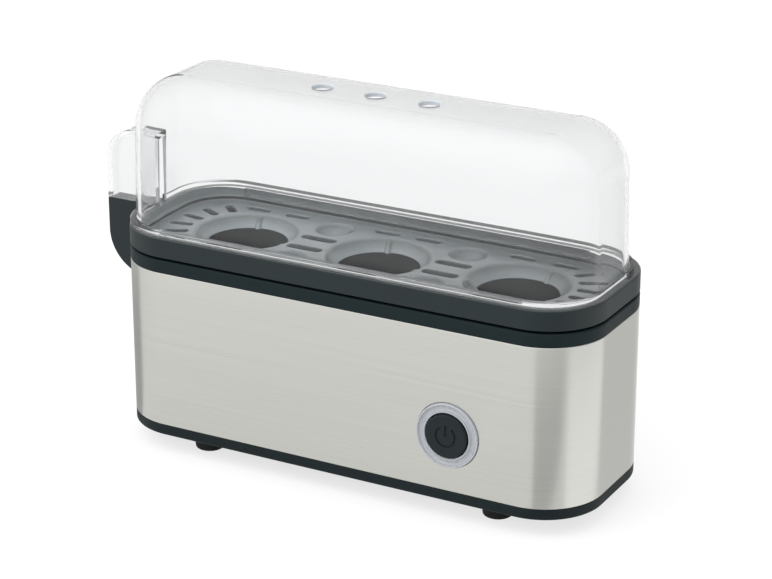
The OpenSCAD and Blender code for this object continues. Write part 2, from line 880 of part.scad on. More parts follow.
module thermostat() {
    color([0.75, 0.74, 0.72])
        translate([thermostat_x, 0, 0]) {
            translate([0, 0, z_pan - thermostat_h]) cylinder(r = thermostat_r, h = thermostat_h);
            translate([0, 0, z_thermostat])
                cylinder(r = thermostat_r - thermostat_rim, h = thermostat_base_h);
            for (s = [-1, 1])
                translate([s * thermostat_r / 2 - tab_t / 2, -tab_w / 2, z_thermostat - tab_l])
                    cube([tab_t, tab_w, tab_l]);
        }
}

module thermostat_clip() {
    bore_r = thermostat_r - thermostat_rim + fit;
    color([0.7, 0.7, 0.68])
        translate([thermostat_x, 0, z_clip])
            difference() {
                linear_extrude(clip_t)
                    rounded(2 * (stud_off + nut_r), 2 * (bore_r + clip_t), nut_r);
                translate([0, 0, -over]) cylinder(r = bore_r, h = clip_t + 2 * over);
                for (s = [-1, 1])
                    translate([s * stud_off, 0, -over]) cylinder(r = stud_r + fit, h = clip_t + 2 * over);
            }
}

// Straps that pull the pan down on its seal: their ends bear up against the frame's ledge
module pan_straps() {
    inner = body_w / 2 - pan_in + fit;
    outer = inner + strap_t;
    toe = inner + ledge_w - strap_t / 2;
    color([0.72, 0.72, 0.7])
        for (s = [-1, 1])
            translate([s * strap_x, 0, 0])
                difference() {
                    translate([strap_w / 2, 0, 0])
                        rotate([0, -90, 0])
                            linear_extrude(strap_w)
                                polygon(concat(
                                    strap_side(inner, outer, toe),
                                    strap_side(-inner, -outer, -toe, true)
                                ));
                    translate([0, 0, z_strap - over]) cylinder(r = stud_r + fit, h = strap_t + 2 * over);
                }
}

// One half of a strap's outline, listed from its lower face up, or back down
function strap_side(inner, outer, toe, back = false) =
    let(side = [
        [z_strap, outer],
        [z_under - strap_t, outer],
        [z_under - strap_t, toe],
        [z_under, toe],
        [z_under, inner],
        [z_strap + strap_t, inner]
    ])
    back ? [for (i = [len(side) - 1:-1:0]) side[i]] : side;

module nut(z) {
    translate([0, 0, z])
        difference() {
            cylinder(r = nut_r, h = nut_h, $fn = 6);
            translate([0, 0, -over]) cylinder(r = stud_r + run_fit, h = nut_h + 2 * over);
        }
}

// The strap over the earth tab has its nut lower by the tab's thickness
module pan_nuts() {
    color([0.8, 0.78, 0.6])
        for (s = [-1, 1]) {
            translate([thermostat_x + s * stud_off, 0, 0]) nut(z_clip - nut_h);
            translate([s * strap_x, 0, 0]) nut(z_strap - nut_h - (s < 0 ? clip_t : 0));
        }
}

module earth_tab() {
    color([0.82, 0.78, 0.55])
        translate([-strap_x, 0, z_strap - clip_t])
            difference() {
                union() {
                    cylinder(r = nut_r, h = clip_t);
                    translate([-nut_r - tab_l, -tab_w / 2, 0]) cube([nut_r + tab_l, tab_w, clip_t]);
                }
                translate([0, 0, -over]) cylinder(r = stud_r + fit, h = clip_t + 2 * over);
            }
}

module along_fuse() {
    translate([fuse_x, 0, fuse_z]) rotate([0, 90, 0]) children();
}

module thermal_fuse() {
    color([0.8, 0.75, 0.6])
        along_fuse() {
            cylinder(r = fuse_r, h = fuse_l, center = true);
            cylinder(r = fuse_r / 3, h = 2 * fuse_end, center = true);
        }
}

module fuse_sleeve() {
    color([0.9, 0.88, 0.8])
        along_fuse()
            difference() {
                cylinder(r = sleeve_r, h = sleeve_l, center = true);
                cylinder(r = sleeve_bore_r, h = sleeve_l + 2 * over, center = true);
            }
}

// Push-button cap with a hollow back and a stem
module power_button() {
    cap_back = ring_back + fit;
    color([0.13, 0.14, 0.15])
        on_button() {
            difference() {
                rotate_extrude()
                    polygon(concat(
                        [[0, -cap_out]],
                        arc(cap_r - cap_edge_r, cap_edge_r - cap_out, cap_edge_r, -90, 0, 4),
                        [[cap_r, cap_back], [0, cap_back]]
                    ));
                translate([0, 0, wall_t - cap_out]) cylinder(r = cap_r - wall_t, h = cap_back + cap_out);
            }
            translate([0, 0, wall_t / 2 - cap_out]) cylinder(r = stem_r, h = stem_end + cap_out - wall_t / 2);
        }
}

module switch_plunger() {
    color([0.85, 0.85, 0.83])
        on_button() translate([0, 0, stem_end]) cylinder(r = plunger_r, h = plunger_l);
}

// Clear ring with a hollow groove round its face
module light_ring() {
    land = (ring_r - ring_bore_r) / 6;
    mid = (ring_r + ring_bore_r) / 2;
    half = ring_r - mid - land;
    groove_r = (half * half + ring_groove * ring_groove) / (2 * ring_groove);
    sweep = asin(half / groove_r);
    color([0.85, 0.87, 0.9])
        on_button()
            rotate_extrude()
                polygon(concat(
                    [[ring_bore_r, ring_back], [ring_bore_r, -ring_out]],
                    arc(mid, -ring_out + ring_groove - groove_r, groove_r, 90 + sweep, 90 - sweep, 10),
                    [[ring_r - land / 2, -ring_out], [ring_r, land / 2 - ring_out], [ring_r, ring_back]]
                ));
}

// Bush behind the sleeve: seats the ring and the lamp board, and guides the stem
module button_bush() {
    color([0.2, 0.21, 0.22])
        on_button()
            rotate_extrude()
                polygon([
                    [ring_seat_r, shell_t],
                    [ring_r + bush_lip, shell_t],
                    [ring_r + bush_lip, shell_t + bush_flange_t],
                    [bush_r, shell_t + bush_flange_t],
                    [bush_r, bush_back],
                    [stem_r + run_fit, bush_back],
                    [stem_r + run_fit, bush_floor],
                    [led_seat_r - bush_step, bush_floor],
                    [led_seat_r - bush_step, led_seat],
                    [led_seat_r, led_seat],
                    [led_seat_r, ring_back],
                    [ring_seat_r, ring_back]
                ]);
}

module led_board() {
    color([0.2, 0.4, 0.25])
        on_button()
            translate([0, 0, led_seat - led_t])
                difference() {
                    cylinder(r = led_seat_r - fit, h = led_t);
                    translate([0, 0, -over]) cylinder(r = ring_bore_r + fit, h = led_t + 2 * over);
                }
}

module leds() {
    size = led_t;
    ring_mid = (led_seat_r + ring_bore_r) / 2;
    color([0.95, 0.95, 0.9])
        on_button()
            for (k = [0:3])
                rotate([0, 0, 45 + 90 * k])
                    translate([ring_mid - size / 2, -size, led_seat - led_t - size / 2])
                        cube([size, 2 * size, size / 2]);
}

module power_switch() {
    bore_l = plunger_end + press_travel + over - switch_front;
    color([0.12, 0.12, 0.13])
        on_button()
            difference() {
                translate([-switch_w / 2, -switch_h / 2, switch_front]) cube([switch_w, switch_h, switch_l]);
                translate([0, 0, switch_front - over]) cylinder(r = plunger_r + run_fit, h = bore_l + over);
            }
}

module switch_terminals() {
    color([0.8, 0.75, 0.55])
        on_button()
            for (sx = [-1, 1], sy = [-1, 1])
                translate([sx * switch_w / 4, sy * switch_h / 4, switch_front + switch_l + tab_l / 2])
                    cube([tab_w, tab_t, tab_l], center = true);
}

// Grommet in the back of the sleeve for the mains lead
module cord_gland() {
    collar_r = gland_neck_r + gland_collar;
    taper = gland_t / 2;
    color([0.1, 0.1, 0.11])
        translate([gland_x, body_w / 2, gland_z])
            rotate([90, 0, 0])
                rotate_extrude()
                    polygon([
                        [cord_hole_r, -gland_t],
                        [collar_r - taper, -gland_t],
                        [collar_r, 0],
                        [gland_neck_r, 0],
                        [gland_neck_r, shell_t],
                        [collar_r, shell_t],
                        [collar_r - taper, shell_t + gland_t],
                        [cord_hole_r, shell_t + gland_t]
                    ]);
}

function terminal_x(i) = block_x + i * block_l / 3;

module terminal_block() {
    color([0.85, 0.84, 0.8])
        difference() {
            translate([block_x - block_l / 2, block_y - block_w / 2, z_in]) cube([block_l, block_w, block_h]);
            for (i = [-1:1])
                translate([terminal_x(i), block_y, z_in + block_h / 3]) {
                    rotate([90, 0, 0]) cylinder(r = lead_r + fit, h = block_w + 2 * over, center = true);
                    cylinder(r = pilot_r, h = block_h);
                }
        }
}

module terminal_screws() {
    color([0.82, 0.8, 0.7])
        for (i = [-1:1])
            translate([terminal_x(i), block_y, z_in + block_h / 2])
                cylinder(r = screw_r, h = block_h / 2 + touch);
}

// Point and heading of a lead on a curve through two ends and two handles
function bezier(p, t) =
    pow(1 - t, 3) * p[0] + 3 * pow(1 - t, 2) * t * p[1] + 3 * (1 - t) * t * t * p[2] + pow(t, 3) * p[3];
function heading(p, t) =
    let(d = (1 - t) * (1 - t) * (p[1] - p[0]) + 2 * (1 - t) * t * (p[2] - p[1]) + t * t * (p[3] - p[2]))
    d / norm(d);

// Lead that leaves one terminal and arrives at another, each along a given handle
module lead(from, leave, to, arrive) {
    steps = 12;
    sides = 8;
    p = [from, from + leave, to + arrive, to];
    up = [0.31, 0.87, 0.38];
    rings = [
        for (i = [0:steps])
            let(t = i / steps, d = heading(p, t), across = cross(d, up))
            let(side = across / norm(across), rise = cross(side, d))
            [for (k = [0:sides - 1])
                bezier(p, t) + lead_r * (cos(360 * k / sides) * side + sin(360 * k / sides) * rise)]
    ];
    quads = [
        for (i = [0:steps - 1], k = [0:sides - 1])
            let(a = i * sides, b = (i + 1) * sides, next = (k + 1) % sides)
            [a + k, a + next, b + next, b + k]
    ];
    polyhedron(
        [for (ring = rings) each ring],
        concat(
            [for (q = quads) [q[0], q[1], q[2]]],
            [for (q = quads) [q[0], q[2], q[3]]],
            [[for (k = [sides - 1:-1:0]) k]],
            [[for (k = [0:sides - 1]) steps * sides + k]]
        )
    );
}

module wiring() {
    in_front = [0, -lead_bow, 0];
    behind = [0, lead_bow, 0];
    below = [0, 0, -lead_bow];
    beside = [lead_bow / 4, 0, 0];
    z_term = z_in + block_h / 3;
    y_term = block_y - block_w / 2 - touch;
    y_switch = -body_w / 2 + switch_front + switch_l + tab_l + touch;
    z_disc = z_thermostat - tab_l - touch;
    z_heater = z_heater_end - pin_h - tab_l - touch;
    block_end = [for (i = [-1:1]) [terminal_x(i), y_term, z_term]];
    switch_in = [button_x - switch_w / 4, y_switch, button_z - switch_h / 4];
    switch_out = [button_x + switch_w / 4, y_switch, button_z + switch_h / 4];
    disc_in = [thermostat_x + thermostat_r / 2, 0, z_disc];
    disc_out = [thermostat_x - thermostat_r / 2, 0, z_disc];
    fuse_in = [fuse_x + fuse_end + touch, 0, fuse_z];
    fuse_out = [fuse_x - fuse_end - touch, 0, fuse_z];
    heater_in = [heater_end_x, -heater_gap / 2, z_heater];
    heater_out = [heater_end_x, heater_gap / 2, z_heater];
    earth = [-strap_x - nut_r - tab_l - touch, 0, z_strap - clip_t / 2];
    color([0.55, 0.2, 0.18]) {
        lead(block_end[2], in_front, switch_in, behind);
        lead(switch_out, behind, disc_in, below);
        lead(disc_out, below, fuse_in, beside);
        lead(fuse_out, -beside, heater_in, below);
        lead(heater_out, below, block_end[0], in_front);
        lead(block_end[1], in_front, earth, -2 * beside);
    }
}

module base_screws() {
    color([0.7, 0.7, 0.7])
        at_four(post_x, post_y) {
            translate([0, 0, z_head]) cylinder(r = head_r, h = head_h);
            translate([0, 0, z_head + head_h]) cylinder(r = screw_r, h = screw_l);
        }
}

// The frame's origin lies on the table under the middle of the overall length, grip included
module in_frame() {
    translate([grip_reach / 2, 0, 0]) children();
}

in_frame() lid();
in_frame() egg_tray();
in_frame() upper_frame();
in_frame() steel_shell();
in_frame() base_plate();
in_frame() feet();
in_frame() heating_pan();
in_frame() pan_seal();
in_frame() heating_element();
in_frame() heater_terminals();
in_frame() thermostat();
in_frame() thermostat_clip();
in_frame() pan_straps();
in_frame() pan_nuts();
in_frame() thermal_fuse();
in_frame() fuse_sleeve();
in_frame() power_button();
in_frame() switch_plunger();
in_frame() light_ring();
in_frame() button_bush();
in_frame() led_board();
in_frame() leds();
in_frame() power_switch();
in_frame() switch_terminals();
in_frame() cord_gland();
in_frame() terminal_block();
in_frame() terminal_screws();
in_frame() earth_tab();
in_frame() wiring();
in_frame() base_screws();
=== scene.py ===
"""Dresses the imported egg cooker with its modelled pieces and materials, on a plain pale stage."""

import json
import math

import bmesh
import bpy
from bpy.props import FloatProperty, FloatVectorProperty, IntProperty, PointerProperty
from mathutils import Matrix, Vector


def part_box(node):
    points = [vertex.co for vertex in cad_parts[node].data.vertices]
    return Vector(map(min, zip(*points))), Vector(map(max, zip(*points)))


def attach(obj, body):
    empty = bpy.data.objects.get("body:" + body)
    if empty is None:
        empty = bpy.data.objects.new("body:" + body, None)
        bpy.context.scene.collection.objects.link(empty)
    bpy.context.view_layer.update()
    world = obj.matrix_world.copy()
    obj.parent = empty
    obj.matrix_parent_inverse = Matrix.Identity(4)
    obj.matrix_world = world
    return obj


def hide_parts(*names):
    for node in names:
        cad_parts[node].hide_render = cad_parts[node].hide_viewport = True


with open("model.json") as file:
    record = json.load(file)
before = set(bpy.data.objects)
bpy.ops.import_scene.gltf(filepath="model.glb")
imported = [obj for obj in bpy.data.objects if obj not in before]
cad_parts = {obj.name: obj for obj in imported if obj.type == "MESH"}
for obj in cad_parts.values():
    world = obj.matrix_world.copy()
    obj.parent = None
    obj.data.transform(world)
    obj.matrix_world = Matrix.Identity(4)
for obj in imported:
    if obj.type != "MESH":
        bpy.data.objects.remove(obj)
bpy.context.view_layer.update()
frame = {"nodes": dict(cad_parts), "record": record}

bl_info = {
    "name": "Egg Cooker",
    "version": (1, 0, 0),
    "blender": (4, 5, 0),
    "location": "View3D > Sidebar > Egg Cooker",
    "description": "Models and dresses an electric egg cooker on its packed frame",
    "category": "Object",
}

# Length of a support strip beside a rounded corner, so that the flat beyond it shades flat
SUPPORT = 0.0006
# Steps round the small edges of a section, a vent, a hole in the sleeve, the button and its sign
EDGE_STEPS = 4
VENT_STEPS = 48
HOLE_STEPS = 96
BUTTON_STEPS = 128
SIGN_STEPS = 64
# Points nearer than this become one: in spun and swept shapes, finished pieces and copies of CAD nodes
SPUN_NEAR = 1e-7
SWEPT_NEAR = 2e-7
PIECE_NEAR = 5e-7
CAD_NEAR = 2e-6
# How far a cutting shape reaches past the wall that it cuts, in the lid, the sleeve and the button
LID_OVER = 0.001
SLEEVE_OVER = 0.003
SIGN_OVER = 0.0005
# Part of a unit normal from which a face counts as square to an axis, and under which it counts as steep
SQUARE = 0.99
STEEP = 0.9
# The tray's inside with painted light: the width of its fading edge, and how far it runs over its outline
FADE = 0.0004
FADE_OVER = 0.0001


def length(name, description, default):
    return FloatProperty(
        name=name, description=description, default=default, min=0.0, unit="LENGTH", precision=5
    )


def angle(name, description, degrees):
    return FloatProperty(name=name, description=description, default=math.radians(degrees), subtype="ANGLE")


def tint(name, description, default):
    return FloatVectorProperty(
        name=name, description=description, default=default, subtype="COLOR", size=3, min=0.0, max=1.0
    )


class EggCookerLid(bpy.types.PropertyGroup):
    """Sizes of the clear lid."""

    wall: length("Wall", "Wall of the lid", 0.002)
    corner_r: length("Corner", "Corner radius of the lid in plan, at its foot", 0.024)
    draft: angle("Draft", "Draft of the lid's walls", 1.5)
    end_inset: length("End Inset", "Distance of the lid's ends from the ends of the flange", 0.0011)
    side_inset: length("Side Inset", "Distance of the lid's sides from the sides of the flange", 0.004)
    flange_h: length("Flange Height", "Height of the flange around the lid's foot", 0.002)
    flange_r: length("Flange Corner", "Corner radius of the flange in plan", 0.0255)
    edge_r: length("Edge", "Rounding of the flange's edges", 0.0002)
    bed: length("Bed", "How far the flange beds into the tray's rim, to shut out the air", 0.00001)
    vent_r: length("Vent Radius", "Radius of the steam vents", 0.0045)
    vent_edge: length("Vent Edge", "Height of the chamfer round a vent", 0.0004)
    vent_pitch: length("Vent Pitch", "Distance between the steam vents", 0.0254)
    grip_t: length("Grip Thickness", "Thickness of the grip", 0.01)
    grip_h: length("Grip Height", "Height of the lid's half of the grip", 0.0325)
    grip_r: length("Grip Corner", "Rounding of the grip's upper end", 0.014)


class EggCookerBody(bpy.types.PropertyGroup):
    """Sizes of the sleeve, the mouldings and the button."""

    corner_r: length("Corner", "Corner radius of the body in plan", 0.027)
    rim_w: length("Rim", "Width of the tray's rim", 0.0048)
    rim_gloss: length("Rim Gloss", "Height of the glossy crest of the tray's rim", 0.0003)
    # Step Depth, Tray Depth and Seat Depth place the painted light and shade inside the tray.
    step_deep: length("Step Depth", "How far the paler inside reaches down the tray's step", 0.0043)
    tray_deep: length("Tray Depth", "Depth of the tray's floor under its rim", 0.006)
    # The seats' change of shade over this depth is painted shade.
    seat_deep: length("Seat Depth", "Depth over which the egg seats change their shade", 0.008)
    sheet: length("Sheet", "Thickness of the steel sleeve", 0.0008)
    rolled: length("Rolled Edge", "Rounding of the sleeve's edges", 0.0003)
    soft_edge: length("Soft Edge", "Rounding of the mouldings' sharp edges", 0.0003)
    hole_gap: length("Hole Gap", "Gap round the ring in its hole", 0.0003)
    skirt: length("Cap Skirt", "Reach of the cap's skirt behind the ring", 0.0003)
    inlet_r: length("Inlet Hole", "Radius of the sleeve's hole for the inlet", 0.0059)
    cap_wall: length("Cap Wall", "Wall of the button's cap", 0.002)
    cap_dish: length("Cap Dish", "Depth of the hollow in the button's face", 0.0003)
    cap_edge: length("Cap Edge", "Rounding of the button's edge", 0.0009)
    cap_gap: length("Cap Gap", "Gap between the button and its ring", 0.00045)
    stem_r: length("Stem", "Radius of the button's stem", 0.004)
    groove: length("Ring Groove", "Depth of the groove in the ring's face", 0.0012)
    sign_r: length("Sign Radius", "Radius of the on-off sign", 0.0044)
    sign_w: length("Sign Width", "Width of the sign's lines", 0.0011)
    sign_deep: length("Sign Depth", "Depth of the sign's lines", 0.00045)
    sign_gap: angle("Sign Gap", "Half of the gap in the sign's ring", 38.0)
    steps: IntProperty(name="Corner Steps", description="Steps round a quarter turn", default=24, min=4)


class EggCookerFinish(bpy.types.PropertyGroup):
    """Colours of the finishes."""

    clear: tint("Clear", "Tint of the lid", (0.93, 0.934, 0.937))
    dark: tint("Dark", "Plastic of the tray and the frame", (0.006, 0.0125, 0.0138))
    # Painted light: the Inside colour makes the tray's floor, step and seats paler, standing in for the
    # light that reaches them through the lid.
    inside: tint("Inside", "Plastic of the tray's floor, paler from steam", (0.18, 0.21, 0.22))
    black: tint("Black", "Plastic of the base", (0.006, 0.011, 0.012))
    steel: tint("Steel", "Steel of the sleeve", (0.522, 0.524, 0.492))
    button: tint("Button", "Plastic of the button", (0.011, 0.016, 0.018))
    ring: tint("Ring", "Plastic of the ring", (0.45, 0.47, 0.5))


def link(obj):
    bpy.context.scene.collection.objects.link(obj)
    return obj


def arc(cx, cz, radius, start, end, steps):
    """Points of an arc in a section, with angles in degrees."""
    turn = [math.radians(start + (end - start) * i / steps) for i in range(steps + 1)]
    return [(cx + radius * math.cos(a), cz + radius * math.sin(a)) for a in turn]


def verts_in(geom):
    return [g for g in geom if isinstance(g, bmesh.types.BMVert)]


def edges_among(verts):
    """Edges that join the given vertices to each other."""
    chosen = set(verts)
    near = dict.fromkeys(e for v in verts for e in v.link_edges)
    return [e for e in near if chosen.issuperset(e.verts)]


def merge(bm, near):
    """Makes points that lie nearer than a distance into one, and drops what has no length or area left."""
    bmesh.ops.remove_doubles(bm, verts=bm.verts, dist=near)
    bmesh.ops.dissolve_degenerate(bm, edges=bm.edges, dist=near)


def carry_run(bm, edges, way):
    """Extrudes edges along a straight run, with a short strip at each end of it."""
    strip = way.normalized() * SUPPORT
    for step in (strip, way - 2.0 * strip, strip):
        verts = verts_in(bmesh.ops.extrude_edge_only(bm, edges=edges)["geom"])
        bmesh.ops.translate(bm, verts=verts, vec=step)
        edges = edges_among(verts)
    return edges


def carry_turn(bm, edges, centre, steps):
    """Spins edges through a quarter turn about an upright axis."""
    verts = list(dict.fromkeys(v for e in edges for v in e.verts))
    made = bmesh.ops.spin(
        bm,
        geom=verts + edges,
        cent=centre,
        axis=(0.0, 0.0, 1.0),
        angle=math.pi / 2.0,
        steps=steps,
        use_merge=False,
    )
    return edges_among(verts_in(made["geom_last"]))


def sweep(section, half_x, half_y, middle, closed, steps):
    """Carries a section of distances outwards from a corner axis, and heights, round all four axes."""
    bm = bmesh.new()
    verts = [bm.verts.new((middle + half_x + out, -half_y, up)) for out, up in section]
    edges = [bm.edges.new(pair) for pair in zip(verts, verts[1:])]
    if closed:
        edges.append(bm.edges.new((verts[-1], verts[0])))
    for way, corner in (((0, 1), (1, 1)), ((-1, 0), (-1, 1)), ((0, -1), (-1, -1)), ((1, 0), (1, -1))):
        run = Vector((way[0] * 2.0 * half_x, way[1] * 2.0 * half_y, 0.0))
        edges = carry_run(bm, edges, run)
        edges = carry_turn(bm, edges, (middle + corner[0] * half_x, corner[1] * half_y, 0.0), steps)
    merge(bm, SWEPT_NEAR)
    if not closed:
        bmesh.ops.holes_fill(bm, edges=[e for e in bm.edges if e.is_boundary], sides=0)
    bmesh.ops.recalc_face_normals(bm, faces=bm.faces)
    return bm


def turned(profile, steps):
    """Spins a profile of radii and heights all the way round the Z axis."""
    bm = bmesh.new()
    verts = [bm.verts.new((r, 0.0, z)) for r, z in profile]
    edges = [bm.edges.new(pair) for pair in zip(verts, verts[1:])]
    if profile[0][0] > 0.0:
        edges.append(bm.edges.new((verts[-1], verts[0])))
    bmesh.ops.spin(
        bm,
        geom=verts + edges,
        cent=(0.0, 0.0, 0.0),
        axis=(0.0, 0.0, 1.0),
        angle=2.0 * math.pi,
        steps=steps,
        use_merge=True,
    )
    merge(bm, SPUN_NEAR)
    bmesh.ops.recalc_face_normals(bm, faces=bm.faces)
    return bm


def extruded(points, way):
    """Solid between a flat outline and a copy of it, moved along a way."""
    bm = bmesh.new()
    face = bm.faces.new([bm.verts.new(point) for point in points])
    made = bmesh.ops.extrude_face_region(bm, geom=[face])
    bmesh.ops.translate(bm, verts=verts_in(made["geom"]), vec=way)
    bmesh.ops.recalc_face_normals(bm, faces=bm.faces)
    return bm


def slab(outline, thick, soft):
    """Extrudes an outline of X and Z to both sides of Y = 0, and rounds the edges of its two faces."""
    bm = extruded([(x, -thick / 2.0, z) for x, z in outline], (0.0, thick, 0.0))
    if soft:
        rims = [e for e in bm.edges if e.verts[0].co.y == e.verts[1].co.y]
        bmesh.ops.bevel(
            bm,
            geom=rims,
            offset=soft,
            offset_type="OFFSET",
            affect="EDGES",
            segments=3,
            profile=0.5,
            material=-1,
        )
    return bm


def block(lo, hi):
    """Plain box between two corners."""
    bm = bmesh.new()
    lo, hi = Vector(lo), Vector(hi)
    place = Matrix.Translation((lo + hi) / 2.0) @ Matrix.Diagonal((*(hi - lo), 1.0))
    bmesh.ops.create_cube(bm, size=1.0, matrix=place)
    return bm


def raw_object(name, bm):
    mesh = bpy.data.meshes.new(name)
    bm.to_mesh(mesh)
    bm.free()
    return link(bpy.data.objects.new(name, mesh))


def placed(name, bm, matrix):
    """Object of a mesh that is moved to its place first."""
    bmesh.ops.transform(bm, matrix=matrix, verts=bm.verts)
    return raw_object(name, bm)


def combine(target, tools, operation):
    """Joins or cuts a solid with others, which are used up."""
    for tool in tools:
        mod = target.modifiers.new(operation.title(), "BOOLEAN")
        mod.operation = operation
        mod.solver = "EXACT"
        mod.object = tool
    graph = bpy.context.evaluated_depsgraph_get()
    old, target.data = target.data, bpy.data.meshes.new_from_object(target.evaluated_get(graph))
    target.modifiers.clear()
    bpy.data.meshes.remove(old)
    for tool in tools:
        bpy.data.meshes.remove(tool.data)


def finish_piece(obj, body, nodes, material, sharp=32.0):
    """Cleans a piece, shades it, and puts it on its body in place of its nodes."""
    mesh = obj.data
    mesh.name = obj.name
    if not mesh.polygons:
        raise RuntimeError(obj.name + " came out empty")
    bm = bmesh.new()
    bm.from_mesh(mesh)
    merge(bm, PIECE_NEAR)
    bm.to_mesh(mesh)
    bm.free()
    mesh.shade_smooth()
    mesh.set_sharp_from_angle(angle=math.radians(sharp))
    mesh.materials.clear()
    mesh.materials.append(material)
    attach(obj, body)
    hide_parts(*nodes)
    return obj


def split_faces(obj, chosen, spot, way):
    """Splits the faces that a test picks along a plane."""
    bm = bmesh.new()
    bm.from_mesh(obj.data)
    faces = [f for f in bm.faces if chosen(f)]
    around = dict.fromkeys(part for f in faces for part in (*f.edges, *f.verts))
    bmesh.ops.bisect_plane(bm, geom=faces + list(around), plane_co=spot, plane_no=way)
    bm.to_mesh(obj.data)
    bm.free()


def moulded(name, node, soft, material, body):
    """Merged copy of a moulding's solid with softened edges and even shading over its flats."""
    bm = bmesh.new()
    bm.from_mesh(frame["nodes"][node].data)
    merge(bm, CAD_NEAR)
    bmesh.ops.dissolve_limit(
        bm, angle_limit=math.radians(0.6), verts=bm.verts, edges=bm.edges, use_dissolve_boundaries=False
    )
    bmesh.ops.triangulate(bm, faces=[f for f in bm.faces if len(f.verts) > 4])
    bmesh.ops.recalc_face_normals(bm, faces=bm.faces)
    obj = finish_piece(raw_object(name, bm), body, (node,), material, sharp=40.0)
    bevel = obj.modifiers.new("Soft Edges", "BEVEL")
    bevel.width = soft
    bevel.segments = 2
    bevel.limit_method = "ANGLE"
    bevel.angle_limit = math.radians(50.0)
    bevel.use_clamp_overlap = False
    even = obj.modifiers.new("Even Shading", "WEIGHTED_NORMAL")
    even.keep_sharp = True


def feed(tree, node, feeds):
    """Sets inputs of a node to plain values, or links them to other sockets."""
    for label, value in feeds.items():
        if isinstance(value, bpy.types.NodeSocket):
            tree.links.new(value, node.inputs[label])
        else:
            node.inputs[label].default_value = value


def add(tree, kind, feeds=None, **settings):
    """New shader node with its settings and its inputs."""
    node = tree.nodes.new("ShaderNode" + kind)
    for key, value in settings.items():
        setattr(node, key, value)
    feed(tree, node, feeds or {})
    return node


def reckon(tree, operation, first, second):
    """Joins two values by an operation."""
    return add(tree, "Math", {0: first, 1: second}, operation=operation).outputs["Value"]


def spread(tree, value, low, high, start=0.0, end=1.0):
    """Maps a value between start and end onto the span from low to high, and no further."""
    feeds = {"Value": value, "From Min": start, "From Max": end, "To Min": low, "To Max": high}
    return add(tree, "MapRange", feeds).outputs["Result"]


def tinted(tree, colour, mask, low, high):
    """Multiplies a colour by a grey that a mask leads from low to high."""
    value = spread(tree, mask, low, high)
    grey = add(tree, "CombineColor", {"Red": value, "Green": value, "Blue": value})
    feeds = {"Factor": 1.0, "A": colour, "B": grey.outputs["Color"]}
    return add(tree, "Mix", feeds, data_type="RGBA", blend_type="MULTIPLY").outputs["Result"]


def noise(tree, place, scale, detail):
    return add(tree, "TexNoise", {"Vector": place, "Scale": scale, "Detail": detail}).outputs["Fac"]


def object_place(tree):
    return add(tree, "TexCoord").outputs["Object"]


def new_group(name, inputs, outputs):
    """New shader group, with the sockets of its inputs and the node that takes its outputs."""
    tree = bpy.data.node_groups.new(name, "ShaderNodeTree")
    for way, sockets in (("INPUT", inputs), ("OUTPUT", outputs)):
        for label, kind in sockets.items():
            tree.interface.new_socket(name=label, in_out=way, socket_type="NodeSocket" + kind)
    return tree, tree.nodes.new("NodeGroupInput").outputs, tree.nodes.new("NodeGroupOutput")


def finish_group(name, **more):
    """Empty group of a finish, with a colour, a roughness and a depth to start from."""
    inputs = {"Colour": "Color", "Roughness": "Float", "Depth": "Float", **more}
    return new_group(name, inputs, {"Colour": "Color", "Roughness": "Float", "Normal": "Vector"})


def end_finish(tree, given, out, colour, rough, height, relief):
    """Links a finish's colour, its roughness times a factor, and its height as a normal."""
    bump = add(tree, "Bump", {"Strength": given["Depth"], "Distance": relief, "Height": height})
    rough = reckon(tree, "MULTIPLY", given["Roughness"], rough)
    feed(tree, out, {"Colour": colour, "Roughness": rough, "Normal": bump.outputs["Normal"]})
    return tree


def grain_group():
    """Fine moulded or rubbery grain with slow, faint changes of shade."""
    tree, given, out = finish_group("Moulded Grain", Scale="Float")
    place = object_place(tree)
    slow = noise(tree, place, scale=34.0, detail=3.0)
    fine = noise(tree, place, scale=given["Scale"], detail=1.0)
    shade = tinted(tree, given["Colour"], slow, 0.9, 1.1)
    shade = tinted(tree, shade, fine, 0.86, 1.14)
    rough = spread(tree, slow, 0.9, 1.1)
    return end_finish(tree, given, out, shade, rough, height=fine, relief=0.0002)


def brush_group():
    """Fine lines brushed level round a sheet of metal."""
    tree, given, out = finish_group("Brushed Lines")
    place = object_place(tree)
    masks = []
    for along, across, detail in ((14.0, 5200.0, 2.0), (5.0, 1300.0, 3.0)):
        stretch = add(tree, "Mapping", {"Vector": place, "Scale": (along, along, across)})
        masks.append(noise(tree, stretch.outputs["Vector"], scale=1.0, detail=detail))
    lines = reckon(tree, "MULTIPLY", reckon(tree, "ADD", *masks), 0.5)
    shade = tinted(tree, given["Colour"], lines, 0.9, 1.1)
    rough = spread(tree, lines, 0.75, 1.25)
    return end_finish(tree, given, out, shade, rough, height=lines, relief=0.00005)


def polish_group():
    """Polished clear plastic with the faint waves of its mould."""
    tree, given, out = finish_group("Polished Clear")
    place = object_place(tree)
    wave = noise(tree, place, scale=38.0, detail=1.0)
    haze = noise(tree, place, scale=260.0, detail=4.0)
    shade = tinted(tree, given["Colour"], haze, 0.985, 1.0)
    rough = spread(tree, haze, 0.5, 1.5)
    return end_finish(tree, given, out, shade, rough, height=wave, relief=0.002)


def painted_seat_shade(tree, deep):
    """Painted shade of the egg seats and dishes from their top edge down, by a depth of 0 to 1: darkest just
    under the edge, brightest at the bottom.
    """
    node = add(tree, "ValToRGB", {"Fac": deep})
    stops = ((0.0, 0.5), (0.06, 0.5), (0.16, 0.2), (0.3, 0.42), (0.55, 0.85), (1.0, 1.0))
    ramp = node.color_ramp.elements
    for stop in stops[1:-1]:
        ramp.new(stop[0])
    for element, (position, grey) in zip(ramp, stops):
        element.position = position
        element.color = (grey, grey, grey, 1.0)
    return node.outputs["Color"]


